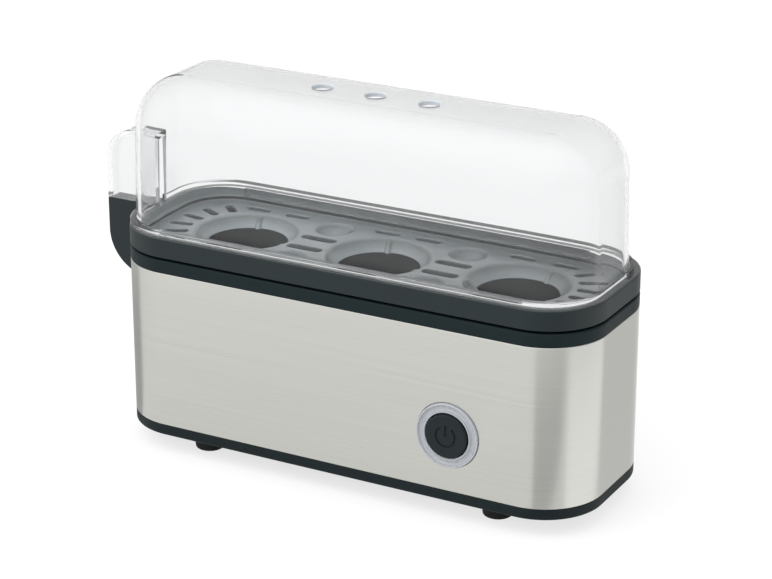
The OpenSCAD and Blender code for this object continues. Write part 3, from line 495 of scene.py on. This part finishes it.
def painted_light_group(size):
    """Painted light inside the tray: a paler colour on its floor, step and seats, with painted shade in the
    seats, and a mask of that inside and of the rim's crest.
    """
    lo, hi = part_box("steel_shell")
    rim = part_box("egg_tray")[1].z
    middle, half_y = (lo.x + hi.x) / 2.0, hi.y - size.corner_r
    half_x = hi.x - middle - size.corner_r
    reach = size.corner_r - size.rim_w + FADE_OVER
    level = rim - size.tray_deep + 2.0 * FADE_OVER

    tree, given, out = new_group(
        "Painted Tray Light", {"Colour": "Color", "Inside": "Color"}, {"Colour": "Color", "Mask": "Float"}
    )

    def vector(operation, *values):
        return add(tree, "VectorMath", dict(enumerate(values)), operation=operation)

    place = object_place(tree)
    apart = vector("SUBTRACT", place, (middle, 0.0, 0.0)).outputs["Vector"]
    apart = vector("ABSOLUTE", apart).outputs["Vector"]
    # The last number is more than any height, so that heights don't count
    past = vector("SUBTRACT", apart, (half_x, half_y, 1.0)).outputs["Vector"]
    past = vector("MAXIMUM", past, (0.0, 0.0, 0.0)).outputs["Vector"]
    within = spread(tree, vector("LENGTH", past).outputs["Value"], 1.0, 0.0, reach, reach + FADE)

    spot = add(tree, "SeparateXYZ", {"Vector": place}).outputs
    # Painted light on the floor and on the step's upper wall and ledge, within the tray's outline.
    floor = spread(tree, spot["Z"], 1.0, 0.0, level, level + FADE)
    step = reckon(tree, "GREATER_THAN", spot["Z"], rim - size.step_deep)
    inside = reckon(tree, "MULTIPLY", within, reckon(tree, "MAXIMUM", floor, step))
    crest = reckon(tree, "GREATER_THAN", spot["Z"], rim - size.rim_gloss)

    # Painted light: lighter towards the left end of the tray, darker towards the right.
    along = spread(tree, spot["X"], 0.0, 1.0, middle - half_x, middle + half_x)
    deep = spread(tree, spot["Z"], 0.0, 1.0, level, level - size.seat_deep)
    pale = tinted(tree, given["Inside"], along, 1.18, 0.64)
    # Painted shade in the egg seats and dishes.
    pale = tinted(tree, pale, painted_seat_shade(tree, deep), 0.4, 1.6)
    blend = add(tree, "Mix", {"Factor": inside, "A": given["Colour"], "B": pale}, data_type="RGBA")
    feed(tree, out, {"Colour": blend.outputs["Result"], "Mask": reckon(tree, "MAXIMUM", inside, crest)})
    return tree


def new_material(name):
    mat = bpy.data.materials.new(name)
    mat.use_nodes = True
    return mat


def dressed(name, group, values, **direct):
    """Material whose colour, roughness and normal come from a shared group."""
    mat = new_material("cooker_" + name)
    tree = mat.node_tree
    colour = (*values["Colour"], 1.0)
    finish = add(tree, "Group", {**values, "Colour": colour}, node_tree=group, name="Finish").outputs
    shader = tree.nodes["Principled BSDF"]
    feed(tree, shader, {label.replace("_", " "): value for label, value in direct.items()})
    for label, socket in (("Colour", "Base Color"), ("Roughness", "Roughness"), ("Normal", "Normal")):
        feed(tree, shader, {socket: finish[label]})
    mat.diffuse_color = colour
    return mat


def painted_light_and_gloss(mat, tones):
    """Paints light on the tray's inside by making its plastic paler there, and gives that inside and the
    rim's crest a glossy coat.
    """
    tree = mat.node_tree
    feeds = {"Colour": (*tones.dark, 1.0), "Inside": (*tones.inside, 1.0)}
    inside = add(tree, "Group", feeds, node_tree=painted_light_group(bpy.context.scene.egg_cooker_body)).outputs
    feed(tree, tree.nodes["Finish"], {"Colour": inside["Colour"]})
    coat = {"Coat Weight": inside["Mask"], "Coat Roughness": 0.26, "Coat IOR": 1.5}
    feed(tree, tree.nodes["Principled BSDF"], coat)


def smoked(mat, least):
    """Tints clear plastic where it is seen at a slant, because the way through its wall is longer there."""
    tree = mat.node_tree
    slant = spread(tree, add(tree, "LayerWeight").outputs["Facing"], 0.0, 1.0, start=0.2)
    shade = tinted(tree, tree.nodes["Finish"].outputs["Colour"], slant, 1.0, least)
    feed(tree, tree.nodes["Principled BSDF"], {"Base Color": shade})


def plastic_looks(tones):
    """Plastics, rubbers and coats by slot."""
    looks, grain = {}, grain_group()
    for slot, colour, rough, scale, depth, shine in (
        ("dark_plastic", tones.dark, 0.48, 4200.0, 0.05, 0.12),
        ("tray", tones.dark, 0.48, 4200.0, 0.05, 0.3),
        ("black_plastic", tones.black, 0.5, 4200.0, 0.05, 0.12),
        ("button_plastic", tones.button, 0.46, 2800.0, 0.08, 0.12),
        ("foot_rubber", (0.014, 0.014, 0.015), 0.72, 1900.0, 0.2, 0.12),
        ("silicone", (0.5, 0.15, 0.12), 0.5, 1500.0, 0.1, 0.12),
        ("white_plastic", (0.7, 0.69, 0.66), 0.42, 2400.0, 0.08, 0.12),
        ("board", (0.03, 0.13, 0.05), 0.35, 1200.0, 0.15, 0.12),
        ("lead_cover", (0.28, 0.05, 0.04), 0.45, 1500.0, 0.1, 0.12),
        ("glass_sleeve", (0.8, 0.78, 0.7), 0.8, 900.0, 0.5, 0.12),
        ("pan_coat", (0.022, 0.04, 0.045), 0.2, 1800.0, 0.05, 0.12),
    ):
        values = {"Colour": colour, "Roughness": rough, "Scale": scale, "Depth": depth}
        looks[slot] = dressed(slot, grain, values, Specular_IOR_Level=shine)
    painted_light_and_gloss(looks["tray"], tones)
    return looks


def metal_looks(tones):
    """Brushed and plated metals by slot."""
    looks, brush = {}, brush_group()
    for slot, colour, rough, depth in (
        ("steel", tones.steel, 0.3, 0.35),
        ("heater_tube", (0.2, 0.18, 0.17), 0.5, 0.2),
        ("plated_steel", (0.6, 0.6, 0.57), 0.34, 0.2),
        ("thermostat_case", (0.65, 0.64, 0.62), 0.38, 0.2),
        ("fuse_case", (0.6, 0.5, 0.35), 0.35, 0.2),
        ("brass", (0.65, 0.52, 0.25), 0.33, 0.2),
    ):
        values = {"Colour": colour, "Roughness": rough, "Depth": depth}
        looks[slot] = dressed(
            slot, brush, values, Metallic=1.0, Anisotropic=0.75, Anisotropic_Rotation=0.25
        )
    return looks


def clear_looks(tones):
    """Clear plastics by slot."""
    looks, polish = {}, polish_group()
    for slot, colour, rough, clear, bend in (
        ("clear_lid", tones.clear, 0.006, 0.975, 1.25),
        # Painted shade: the frosted grey of the lid's vent and grip edges stands in for the shade that its
        # clear cut edges show.
        ("painted_shade_edge", (0.56, 0.6, 0.63), 0.35, 0.1, 1.3),
        ("clear_ring", tones.ring, 0.3, 0.25, 1.49),
        ("lamp", (0.9, 0.9, 0.82), 0.12, 0.4, 1.5),
    ):
        values = {"Colour": colour, "Roughness": rough, "Depth": 0.02}
        looks[slot] = dressed(slot, polish, values, Transmission_Weight=clear, IOR=bend)
    smoked(looks["clear_lid"], least=0.86)
    return looks


def finishes():
    """Materials by the record's slots, with those of the tray and of the painted shade on the lid's cut
    edges, made once.
    """
    names = [s["slot"] for s in frame["record"]["materials"]] + ["tray", "painted_shade_edge"]
    looks = {name: bpy.data.materials.get("cooker_" + name) for name in names}
    if all(looks.values()):
        return looks
    tones = bpy.context.scene.egg_cooker_finish
    return {**plastic_looks(tones), **metal_looks(tones), **clear_looks(tones)}


class EGGCOOKER_OT_lid(bpy.types.Operator):
    """Models the clear lid with its flange, locating lips, vents and half of the grip."""

    bl_idname = "egg_cooker.lid"
    bl_label = "Clear Lid"
    bl_options = {"REGISTER", "UNDO"}

    def execute(self, context):
        size, steps = context.scene.egg_cooker_lid, context.scene.egg_cooker_body.steps
        lo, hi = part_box("lid")
        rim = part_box("egg_tray")[1].z
        flange_l = (hi.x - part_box("steel_shell")[0].x) / 2.0
        middle, flange_w = hi.x - flange_l, hi.y
        dome_l, dome_w = flange_l - size.end_inset, flange_w - size.side_inset
        half_x, half_y = dome_l - size.corner_r, dome_w - size.corner_r
        lean = math.tan(size.draft)
        radius = (size.corner_r - (hi.z - rim) * lean) / (1.0 / math.cos(size.draft) - lean)
        end, foot, below = middle - dome_l, rim - size.bed, lo.z - LID_OVER
        vents = [middle + i * size.vent_pitch for i in (-1, 0, 1)]

        def dome(name, inset, bottom):
            section = arc(0.0, hi.z - radius, radius - inset, 90.0, math.degrees(size.draft), steps)
            out, up = section[-1]
            section += [(out + (up - bottom) * lean, bottom), (0.0, bottom)]
            return raw_object(name, sweep(section, half_x, half_y, middle, False, steps))

        def flange():
            soft, r, top = size.edge_r, size.flange_r, rim + size.flange_h
            section = [(0.0, foot)] + arc(r - soft, foot + soft, soft, -90.0, 0.0, EDGE_STEPS)
            section += arc(r - soft, top - soft, soft, 0.0, 90.0, EDGE_STEPS) + [(0.0, top)]
            return raw_object("lid_flange", sweep(section, flange_l - r, flange_w - r, middle, False, steps))

        def lip(side):
            near, far = sorted((side * dome_w, side * (dome_w - size.wall)))
            top = rim + size.flange_h / 2.0
            return raw_object("lid_lip", block((middle - half_x, near, lo.z), (middle + half_x, far, top)))

        def grip(name, inset, reach, bottom, soft):
            left, top, r = lo.x + inset, rim + size.grip_h - inset, size.grip_r - inset
            outline = [(left, bottom), (reach, bottom), (reach, top)]
            outline += arc(left + r, top - r, r, 90.0, 180.0, steps)
            return raw_object(name, slab(outline, size.grip_t - 2.0 * inset, soft))

        def vent(x):
            r, c, low = size.vent_r, size.vent_edge, hi.z - 2.0 * size.wall
            profile = [(0.0, low), (r, low), (r, hi.z - c), (r + 2.0 * c, hi.z + c), (0.0, hi.z + c)]
            return placed("lid_vent", turned(profile, VENT_STEPS), Matrix.Translation((x, 0.0, 0.0)))

        # The sides of the grip's mouth are split halfway through the dome's wall, so that only the half
        # nearer the inside takes the painted shade
        mouth, mouth_y = end + size.wall / 2.0, size.grip_t / 2.0 - size.wall + size.bed

        def in_mouth(face):
            return abs(face.normal.y) > SQUARE and all(abs(v.co.y) < mouth_y for v in face.verts)

        def cut_edge(face):
            x, y, z = face.center
            away = min(math.hypot(x - v, y) for v in vents)
            if away < size.vent_r + 2.0 * size.vent_edge and z > hi.z - size.wall:
                return abs(face.normal.z) < STEEP
            return abs(face.normal.y) > SQUARE and abs(y) < mouth_y and mouth < x < end + 2.0 * size.wall

        # The dome and the lips end inside the flange, so that none of their faces lies on one of its own
        lid = dome("clear_lid_shell", 0.0, rim + size.flange_h * 0.4)
        joined = [flange(), lip(-1.0), lip(1.0), grip("lid_grip", 0.0, end + size.wall, foot, size.edge_r)]
        combine(lid, joined, "UNION")
        spaces = [
            dome("lid_space", size.wall, below),
            grip("lid_grip_space", size.wall, end + 3.0 * size.wall, below, 0.0),
        ]
        combine(lid, spaces + [vent(x) for x in vents], "DIFFERENCE")
        split_faces(lid, in_mouth, (mouth, 0.0, 0.0), (1.0, 0.0, 0.0))
        finish_piece(lid, "lid", ("lid",), finishes()["clear_lid"])
        # The vents' chamfers and half of the grip's mouth take the grey of painted shade.
        lid.data.materials.append(finishes()["painted_shade_edge"])
        for face in lid.data.polygons:
            face.material_index = int(cut_edge(face))
        return {"FINISHED"}


class EGGCOOKER_OT_mouldings(bpy.types.Operator):
    """Softens the tray, the frame, the base, the feet, the pan and the inlet."""

    bl_idname = "egg_cooker.mouldings"
    bl_label = "Mouldings"
    bl_options = {"REGISTER", "UNDO"}

    def execute(self, context):
        soft, looks = context.scene.egg_cooker_body.soft_edge, finishes()
        for name, node, body, slot, look, share in (
            ("tray_moulding", "egg_tray", "egg_tray", "dark_plastic", "tray", 1.0),
            ("frame_moulding", "upper_frame", "housing", "dark_plastic", "dark_plastic", 1.0),
            ("base_moulding", "base_plate", "housing", "black_plastic", "black_plastic", 1.0),
            ("rubber_feet", "feet", "housing", "foot_rubber", "foot_rubber", 1.0),
            ("water_pan", "heating_pan", "housing", "pan_coat", "pan_coat", 0.7),
            ("inlet_grommet", "cord_gland", "housing", "foot_rubber", "foot_rubber", 0.8),
        ):
            moulded(name, node, soft * share, looks[look], body)
        return {"FINISHED"}


class EGGCOOKER_OT_sleeve(bpy.types.Operator):
    """Models the brushed sleeve with rolled edges and its holes for the button and the inlet."""

    bl_idname = "egg_cooker.sleeve"
    bl_label = "Steel Sleeve"
    bl_options = {"REGISTER", "UNDO"}

    def execute(self, context):
        size = context.scene.egg_cooker_body
        lo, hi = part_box("steel_shell")
        middle, half_l = (lo.x + hi.x) / 2.0, (hi.x - lo.x) / 2.0
        r, soft = size.corner_r, size.rolled
        section = arc(r - soft, lo.z + soft, soft, -90.0, 0.0, EDGE_STEPS)
        section += arc(r - soft, hi.z - soft, soft, 0.0, 90.0, EDGE_STEPS)
        section += [(r - size.sheet, hi.z), (r - size.sheet, lo.z)]
        sleeve = raw_object("steel_sleeve", sweep(section, half_l - r, hi.y - r, middle, True, size.steps))

        def hole(node, side, radius):
            (a, b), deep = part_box(node), SLEEVE_OVER
            profile = [(0.0, -deep), (radius, -deep), (radius, deep), (0.0, deep)]
            spot = Matrix.Translation(((a.x + b.x) / 2.0, side * hi.y, (a.z + b.z) / 2.0))
            level = Matrix.Rotation(math.pi / 2.0, 4, "X")
            return placed("sleeve_hole", turned(profile, HOLE_STEPS), spot @ level)

        ring_lo, ring_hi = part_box("light_ring")
        ring_hole = hole("light_ring", -1.0, (ring_hi.x - ring_lo.x) / 2.0 + size.hole_gap)
        combine(sleeve, [ring_hole, hole("cord_gland", 1.0, size.inlet_r)], "DIFFERENCE")
        finish_piece(sleeve, "housing", ("steel_shell",), finishes()["steel"])
        return {"FINISHED"}


class EGGCOOKER_OT_button(bpy.types.Operator):
    """Models the button with its engraved on-off sign, and the ring round it."""

    bl_idname = "egg_cooker.button"
    bl_label = "Push Button"
    bl_options = {"REGISTER", "UNDO"}

    def execute(self, context):
        size, looks = context.scene.egg_cooker_body, finishes()
        lo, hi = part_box("power_button")
        ring_lo, ring_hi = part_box("light_ring")
        radius, front = (hi.x - lo.x) / 2.0, lo.y
        spot = Matrix.Translation(((lo.x + hi.x) / 2.0, 0.0, (lo.z + hi.z) / 2.0))
        spot = spot @ Matrix.Rotation(-math.pi / 2.0, 4, "X")

        def cap():
            edge, dish, dish_steps = size.cap_edge, size.cap_dish, 3 * EDGE_STEPS
            rim, bore, stem = radius - edge, radius - size.cap_wall, size.stem_r
            floor, back = front + size.cap_wall + dish, ring_hi.y + size.skirt
            shares = [i / dish_steps for i in range(dish_steps)]
            profile = [(rim * share, front + dish * (1.0 - share**2)) for share in shares]
            profile += arc(rim, front + edge, edge, -90.0, 0.0, 2 * EDGE_STEPS)
            profile += [(radius, back), (bore, back), (bore, floor)]
            profile += [(stem, floor), (stem, hi.y), (0.0, hi.y)]
            return placed("button_cap", turned(profile, BUTTON_STEPS), spot)

        def sign():
            top, low = front - SIGN_OVER, front + size.cap_dish + size.sign_deep
            wide, narrow, bar_l = size.sign_w * 0.75, size.sign_w * 0.3, size.sign_r * 1.12
            groove = ((-wide, top), (wide, top), (narrow, low), (-narrow, low))
            ring = bmesh.new()
            verts = [ring.verts.new((0.0, size.sign_r + out, up)) for out, up in groove]
            face = ring.faces.new(verts)
            start = Matrix.Rotation(size.sign_gap, 3, "Z")
            bmesh.ops.rotate(ring, verts=verts, cent=(0.0, 0.0, 0.0), matrix=start)
            bmesh.ops.spin(
                ring,
                geom=[face],
                cent=(0.0, 0.0, 0.0),
                axis=(0.0, 0.0, 1.0),
                angle=2.0 * (math.pi - size.sign_gap),
                steps=SIGN_STEPS,
            )
            bmesh.ops.recalc_face_normals(ring, faces=ring.faces)
            bar = extruded([(out, 0.0, up) for out, up in groove], (0.0, bar_l, 0.0))
            upright = spot @ Matrix.Rotation(math.pi, 4, "Z")
            return [placed("sign_ring", ring, upright), placed("sign_bar", bar, upright)]

        def ring():
            outer, bore = (ring_hi.x - ring_lo.x) / 2.0, radius + size.cap_gap
            face, seat = ring_lo.y, ring_hi.y
            land, mid = (outer - bore) / 6.0, (outer + bore) / 2.0
            half, deep, soft = outer - mid - land, size.groove, land * 0.45
            curve = (half * half + deep * deep) / (2.0 * deep)
            turn = math.degrees(math.asin(half / curve))
            profile = [(bore, seat)] + arc(bore + soft, face + soft, soft, 180.0, 270.0, EDGE_STEPS)
            profile += arc(mid, face + deep - curve, curve, 90.0 + turn, 90.0 - turn, 5 * EDGE_STEPS)
            profile += arc(outer - soft, face + soft, soft, -90.0, 0.0, EDGE_STEPS) + [(outer, seat)]
            return placed("button_ring", turned(profile, BUTTON_STEPS), spot)

        button = cap()
        combine(button, sign(), "DIFFERENCE")
        finish_piece(button, "power_button", ("power_button",), looks["button_plastic"])
        finish_piece(ring(), "housing", ("light_ring",), looks["clear_ring"], sharp=40.0)
        return {"FINISHED"}


class EGGCOOKER_OT_works(bpy.types.Operator):
    """Gives the pieces inside the body their finishes."""

    bl_idname = "egg_cooker.works"
    bl_label = "Inner Works"
    bl_options = {"REGISTER", "UNDO"}

    def execute(self, context):
        looks = finishes()
        slots = {s["node"]: s["material_slot"] for s in frame["record"]["subparts"]}
        for node, obj in frame["nodes"].items():
            if not obj.hide_render:
                obj.data.materials.clear()
                obj.data.materials.append(looks[slots[node]])
        return {"FINISHED"}


def hide_from(obj, *rays):
    for ray in rays:
        setattr(obj, "visible_" + ray, False)


def look_at(obj, spot, target):
    """Puts a light or a camera at a spot and aims it at a target."""
    obj.location = spot
    obj.rotation_euler = (Vector(target) - Vector(spot)).to_track_quat("-Z", "Y").to_euler()


def studio_sky(scene):
    """Sky that is brightest high in front; the camera sees it plain white, and clear plastic no darker."""
    world = bpy.data.worlds.new("Studio")
    scene.world = world
    world.use_nodes = True
    tree = world.node_tree
    place = add(tree, "TexCoord").outputs["Generated"]
    bright = Vector((-0.25, -0.5, 0.8)).normalized()
    toward = add(tree, "VectorMath", {0: place, 1: bright}, operation="DOT_PRODUCT").outputs["Value"]
    feeds = {"Value": toward, "From Min": 0.1, "To Min": 0.62, "To Max": 1.9}
    level = add(tree, "MapRange", feeds, interpolation_type="SMOOTHSTEP").outputs["Result"]
    path = add(tree, "LightPath").outputs
    through = reckon(tree, "MAXIMUM", level, path["Is Transmission Ray"])
    feeds = {"Factor": path["Is Camera Ray"], "A": through, "B": 1.0}
    plain = add(tree, "Mix", feeds, data_type="FLOAT").outputs["Result"]
    feed(tree, tree.nodes["Background"], {"Color": (1.0, 1.0, 1.0, 1.0), "Strength": plain})


def pale_floor():
    """Wide floor that glows where it is seen, so that only a soft shadow shows on it."""
    bm = bmesh.new()
    bmesh.ops.create_grid(bm, x_segments=1, y_segments=1, size=6.0)
    floor = raw_object("stage_floor", bm)
    mat = new_material("stage_floor")
    tree = mat.node_tree
    shader = tree.nodes["Principled BSDF"]
    pale = {"Base Color": (0.82, 0.82, 0.82, 1.0), "Roughness": 0.9, "Specular IOR Level": 0.0}
    feed(tree, shader, pale)
    path = add(tree, "LightPath").outputs
    seen = reckon(tree, "MAXIMUM", path["Is Camera Ray"], path["Is Transmission Ray"])
    seen = reckon(tree, "MAXIMUM", seen, path["Is Glossy Ray"])
    glow = add(tree, "Emission").outputs["Emission"]
    share = reckon(tree, "MULTIPLY", seen, 0.72)
    blend = add(tree, "MixShader", {"Fac": share, 1: shader.outputs["BSDF"], 2: glow})
    feed(tree, tree.nodes["Material Output"], {"Surface": blend.outputs["Shader"]})
    floor.data.materials.append(mat)


def glow_cards():
    """Cards on the floor that only mirror images show, drawn by turns in degrees and distances."""
    low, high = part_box("steel_shell")
    lift = 0.0005
    left = ((120.0, 0.0), (120.0, 0.4), (186.0, 0.4), (186.0, 0.005))
    strip = ((278.0, 0.01), (278.0, 0.4), (334.0, 0.4), (334.0, 0.01))
    corner = ((338.0, 0.01), (338.0, 0.5), (412.0, 0.5), (412.0, 0.01))
    end = ((52.0, 0.001), (52.0, 0.4), (62.0, 0.6), (90.0, 0.5))
    for name, x, y, level, outline in (
        ("left", low.x + 0.004, low.y + 0.01, 0.5, left),
        ("strip", high.x - 0.02, low.y, 0.65, strip),
        ("corner", high.x - 0.008, low.y + 0.008, 1.38, corner),
        ("end", high.x, -0.012, 0.83, end),
    ):
        bm = bmesh.new()
        turns = [(math.radians(turn), out) for turn, out in outline]
        points = [(x + out * math.cos(turn), y + out * math.sin(turn), lift) for turn, out in turns]
        bm.faces.new([bm.verts.new(point) for point in points])
        card = raw_object("stage_card_" + name, bm)
        mat = new_material("stage_card_" + name)
        tree = mat.node_tree
        glow = add(tree, "Emission", {"Strength": level}).outputs["Emission"]
        feed(tree, tree.nodes["Material Output"], {"Surface": glow})
        card.data.materials.append(mat)
        hide_from(card, "camera", "diffuse", "shadow", "transmission")


def soft_lights():
    """Three square lights that leave no mirror image."""
    for name, spot, target, width, power in (
        ("key", (-0.75, -1.1, 1.5), (0.0, 0.0, 0.08), 1.2, 9.0),
        ("fill", (1.4, 0.2, 1.2), (0.0, 0.0, 0.08), 1.0, 4.0),
        ("back", (-0.3, 1.3, 1.1), (0.0, 0.0, 0.1), 1.0, 4.0),
    ):
        data = bpy.data.lights.new(name, "AREA")
        data.shape = "SQUARE"
        data.size = width
        data.energy = power
        lamp = link(bpy.data.objects.new(name, data))
        hide_from(lamp, "glossy", "transmission")
        look_at(lamp, spot, target)


def front_camera(scene):
    """Camera in front, to the right and above, at the place and with the lens that fit the photo."""
    data = bpy.data.cameras.new("Camera")
    data.sensor_width = 36.0
    data.lens = 117.23
    camera = link(bpy.data.objects.new("Camera", data))
    look_at(camera, (0.49603, -0.88037, 0.46446), (0.01416, 0.00146, 0.07856))
    scene.camera = camera


class EGGCOOKER_OT_stage(bpy.types.Operator):
    """Sets the pale floor, the soft light and the camera."""

    bl_idname = "egg_cooker.stage"
    bl_label = "Stage"
    bl_options = {"REGISTER", "UNDO"}

    def execute(self, context):
        context.scene.view_settings.view_transform = "Standard"
        studio_sky(context.scene)
        pale_floor()
        glow_cards()
        soft_lights()
        front_camera(context.scene)
        return {"FINISHED"}


class EGGCOOKER_PT_panel(bpy.types.Panel):
    """Steps and sizes of the egg cooker."""

    bl_idname = "EGGCOOKER_PT_panel"
    bl_label = "Egg Cooker"
    bl_space_type = "VIEW_3D"
    bl_region_type = "UI"
    bl_category = "Egg Cooker"

    def draw(self, context):
        for step in STEPS:
            self.layout.operator(step)
        for group in GROUPS:
            values = getattr(context.scene, group)
            box = self.layout.box()
            for label in values.__annotations__:
                box.prop(values, label)


STEPS = (
    "egg_cooker.lid",
    "egg_cooker.mouldings",
    "egg_cooker.sleeve",
    "egg_cooker.button",
    "egg_cooker.works",
    "egg_cooker.stage",
)
GROUPS = {
    "egg_cooker_lid": EggCookerLid,
    "egg_cooker_body": EggCookerBody,
    "egg_cooker_finish": EggCookerFinish,
}
CLASSES = (
    *GROUPS.values(),
    EGGCOOKER_OT_lid,
    EGGCOOKER_OT_mouldings,
    EGGCOOKER_OT_sleeve,
    EGGCOOKER_OT_button,
    EGGCOOKER_OT_works,
    EGGCOOKER_OT_stage,
    EGGCOOKER_PT_panel,
)


def register():
    for cls in CLASSES:
        bpy.utils.register_class(cls)
    for name, cls in GROUPS.items():
        setattr(bpy.types.Scene, name, PointerProperty(type=cls))


def unregister():
    for name in GROUPS:
        delattr(bpy.types.Scene, name)
    for cls in reversed(CLASSES):
        bpy.utils.unregister_class(cls)


def main():
    register()
    for step in STEPS:
        space, name = step.split(".")
        if getattr(getattr(bpy.ops, space), name)() != {"FINISHED"}:
            raise RuntimeError(step + " did not finish")


if __name__ == "__main__":
    main()
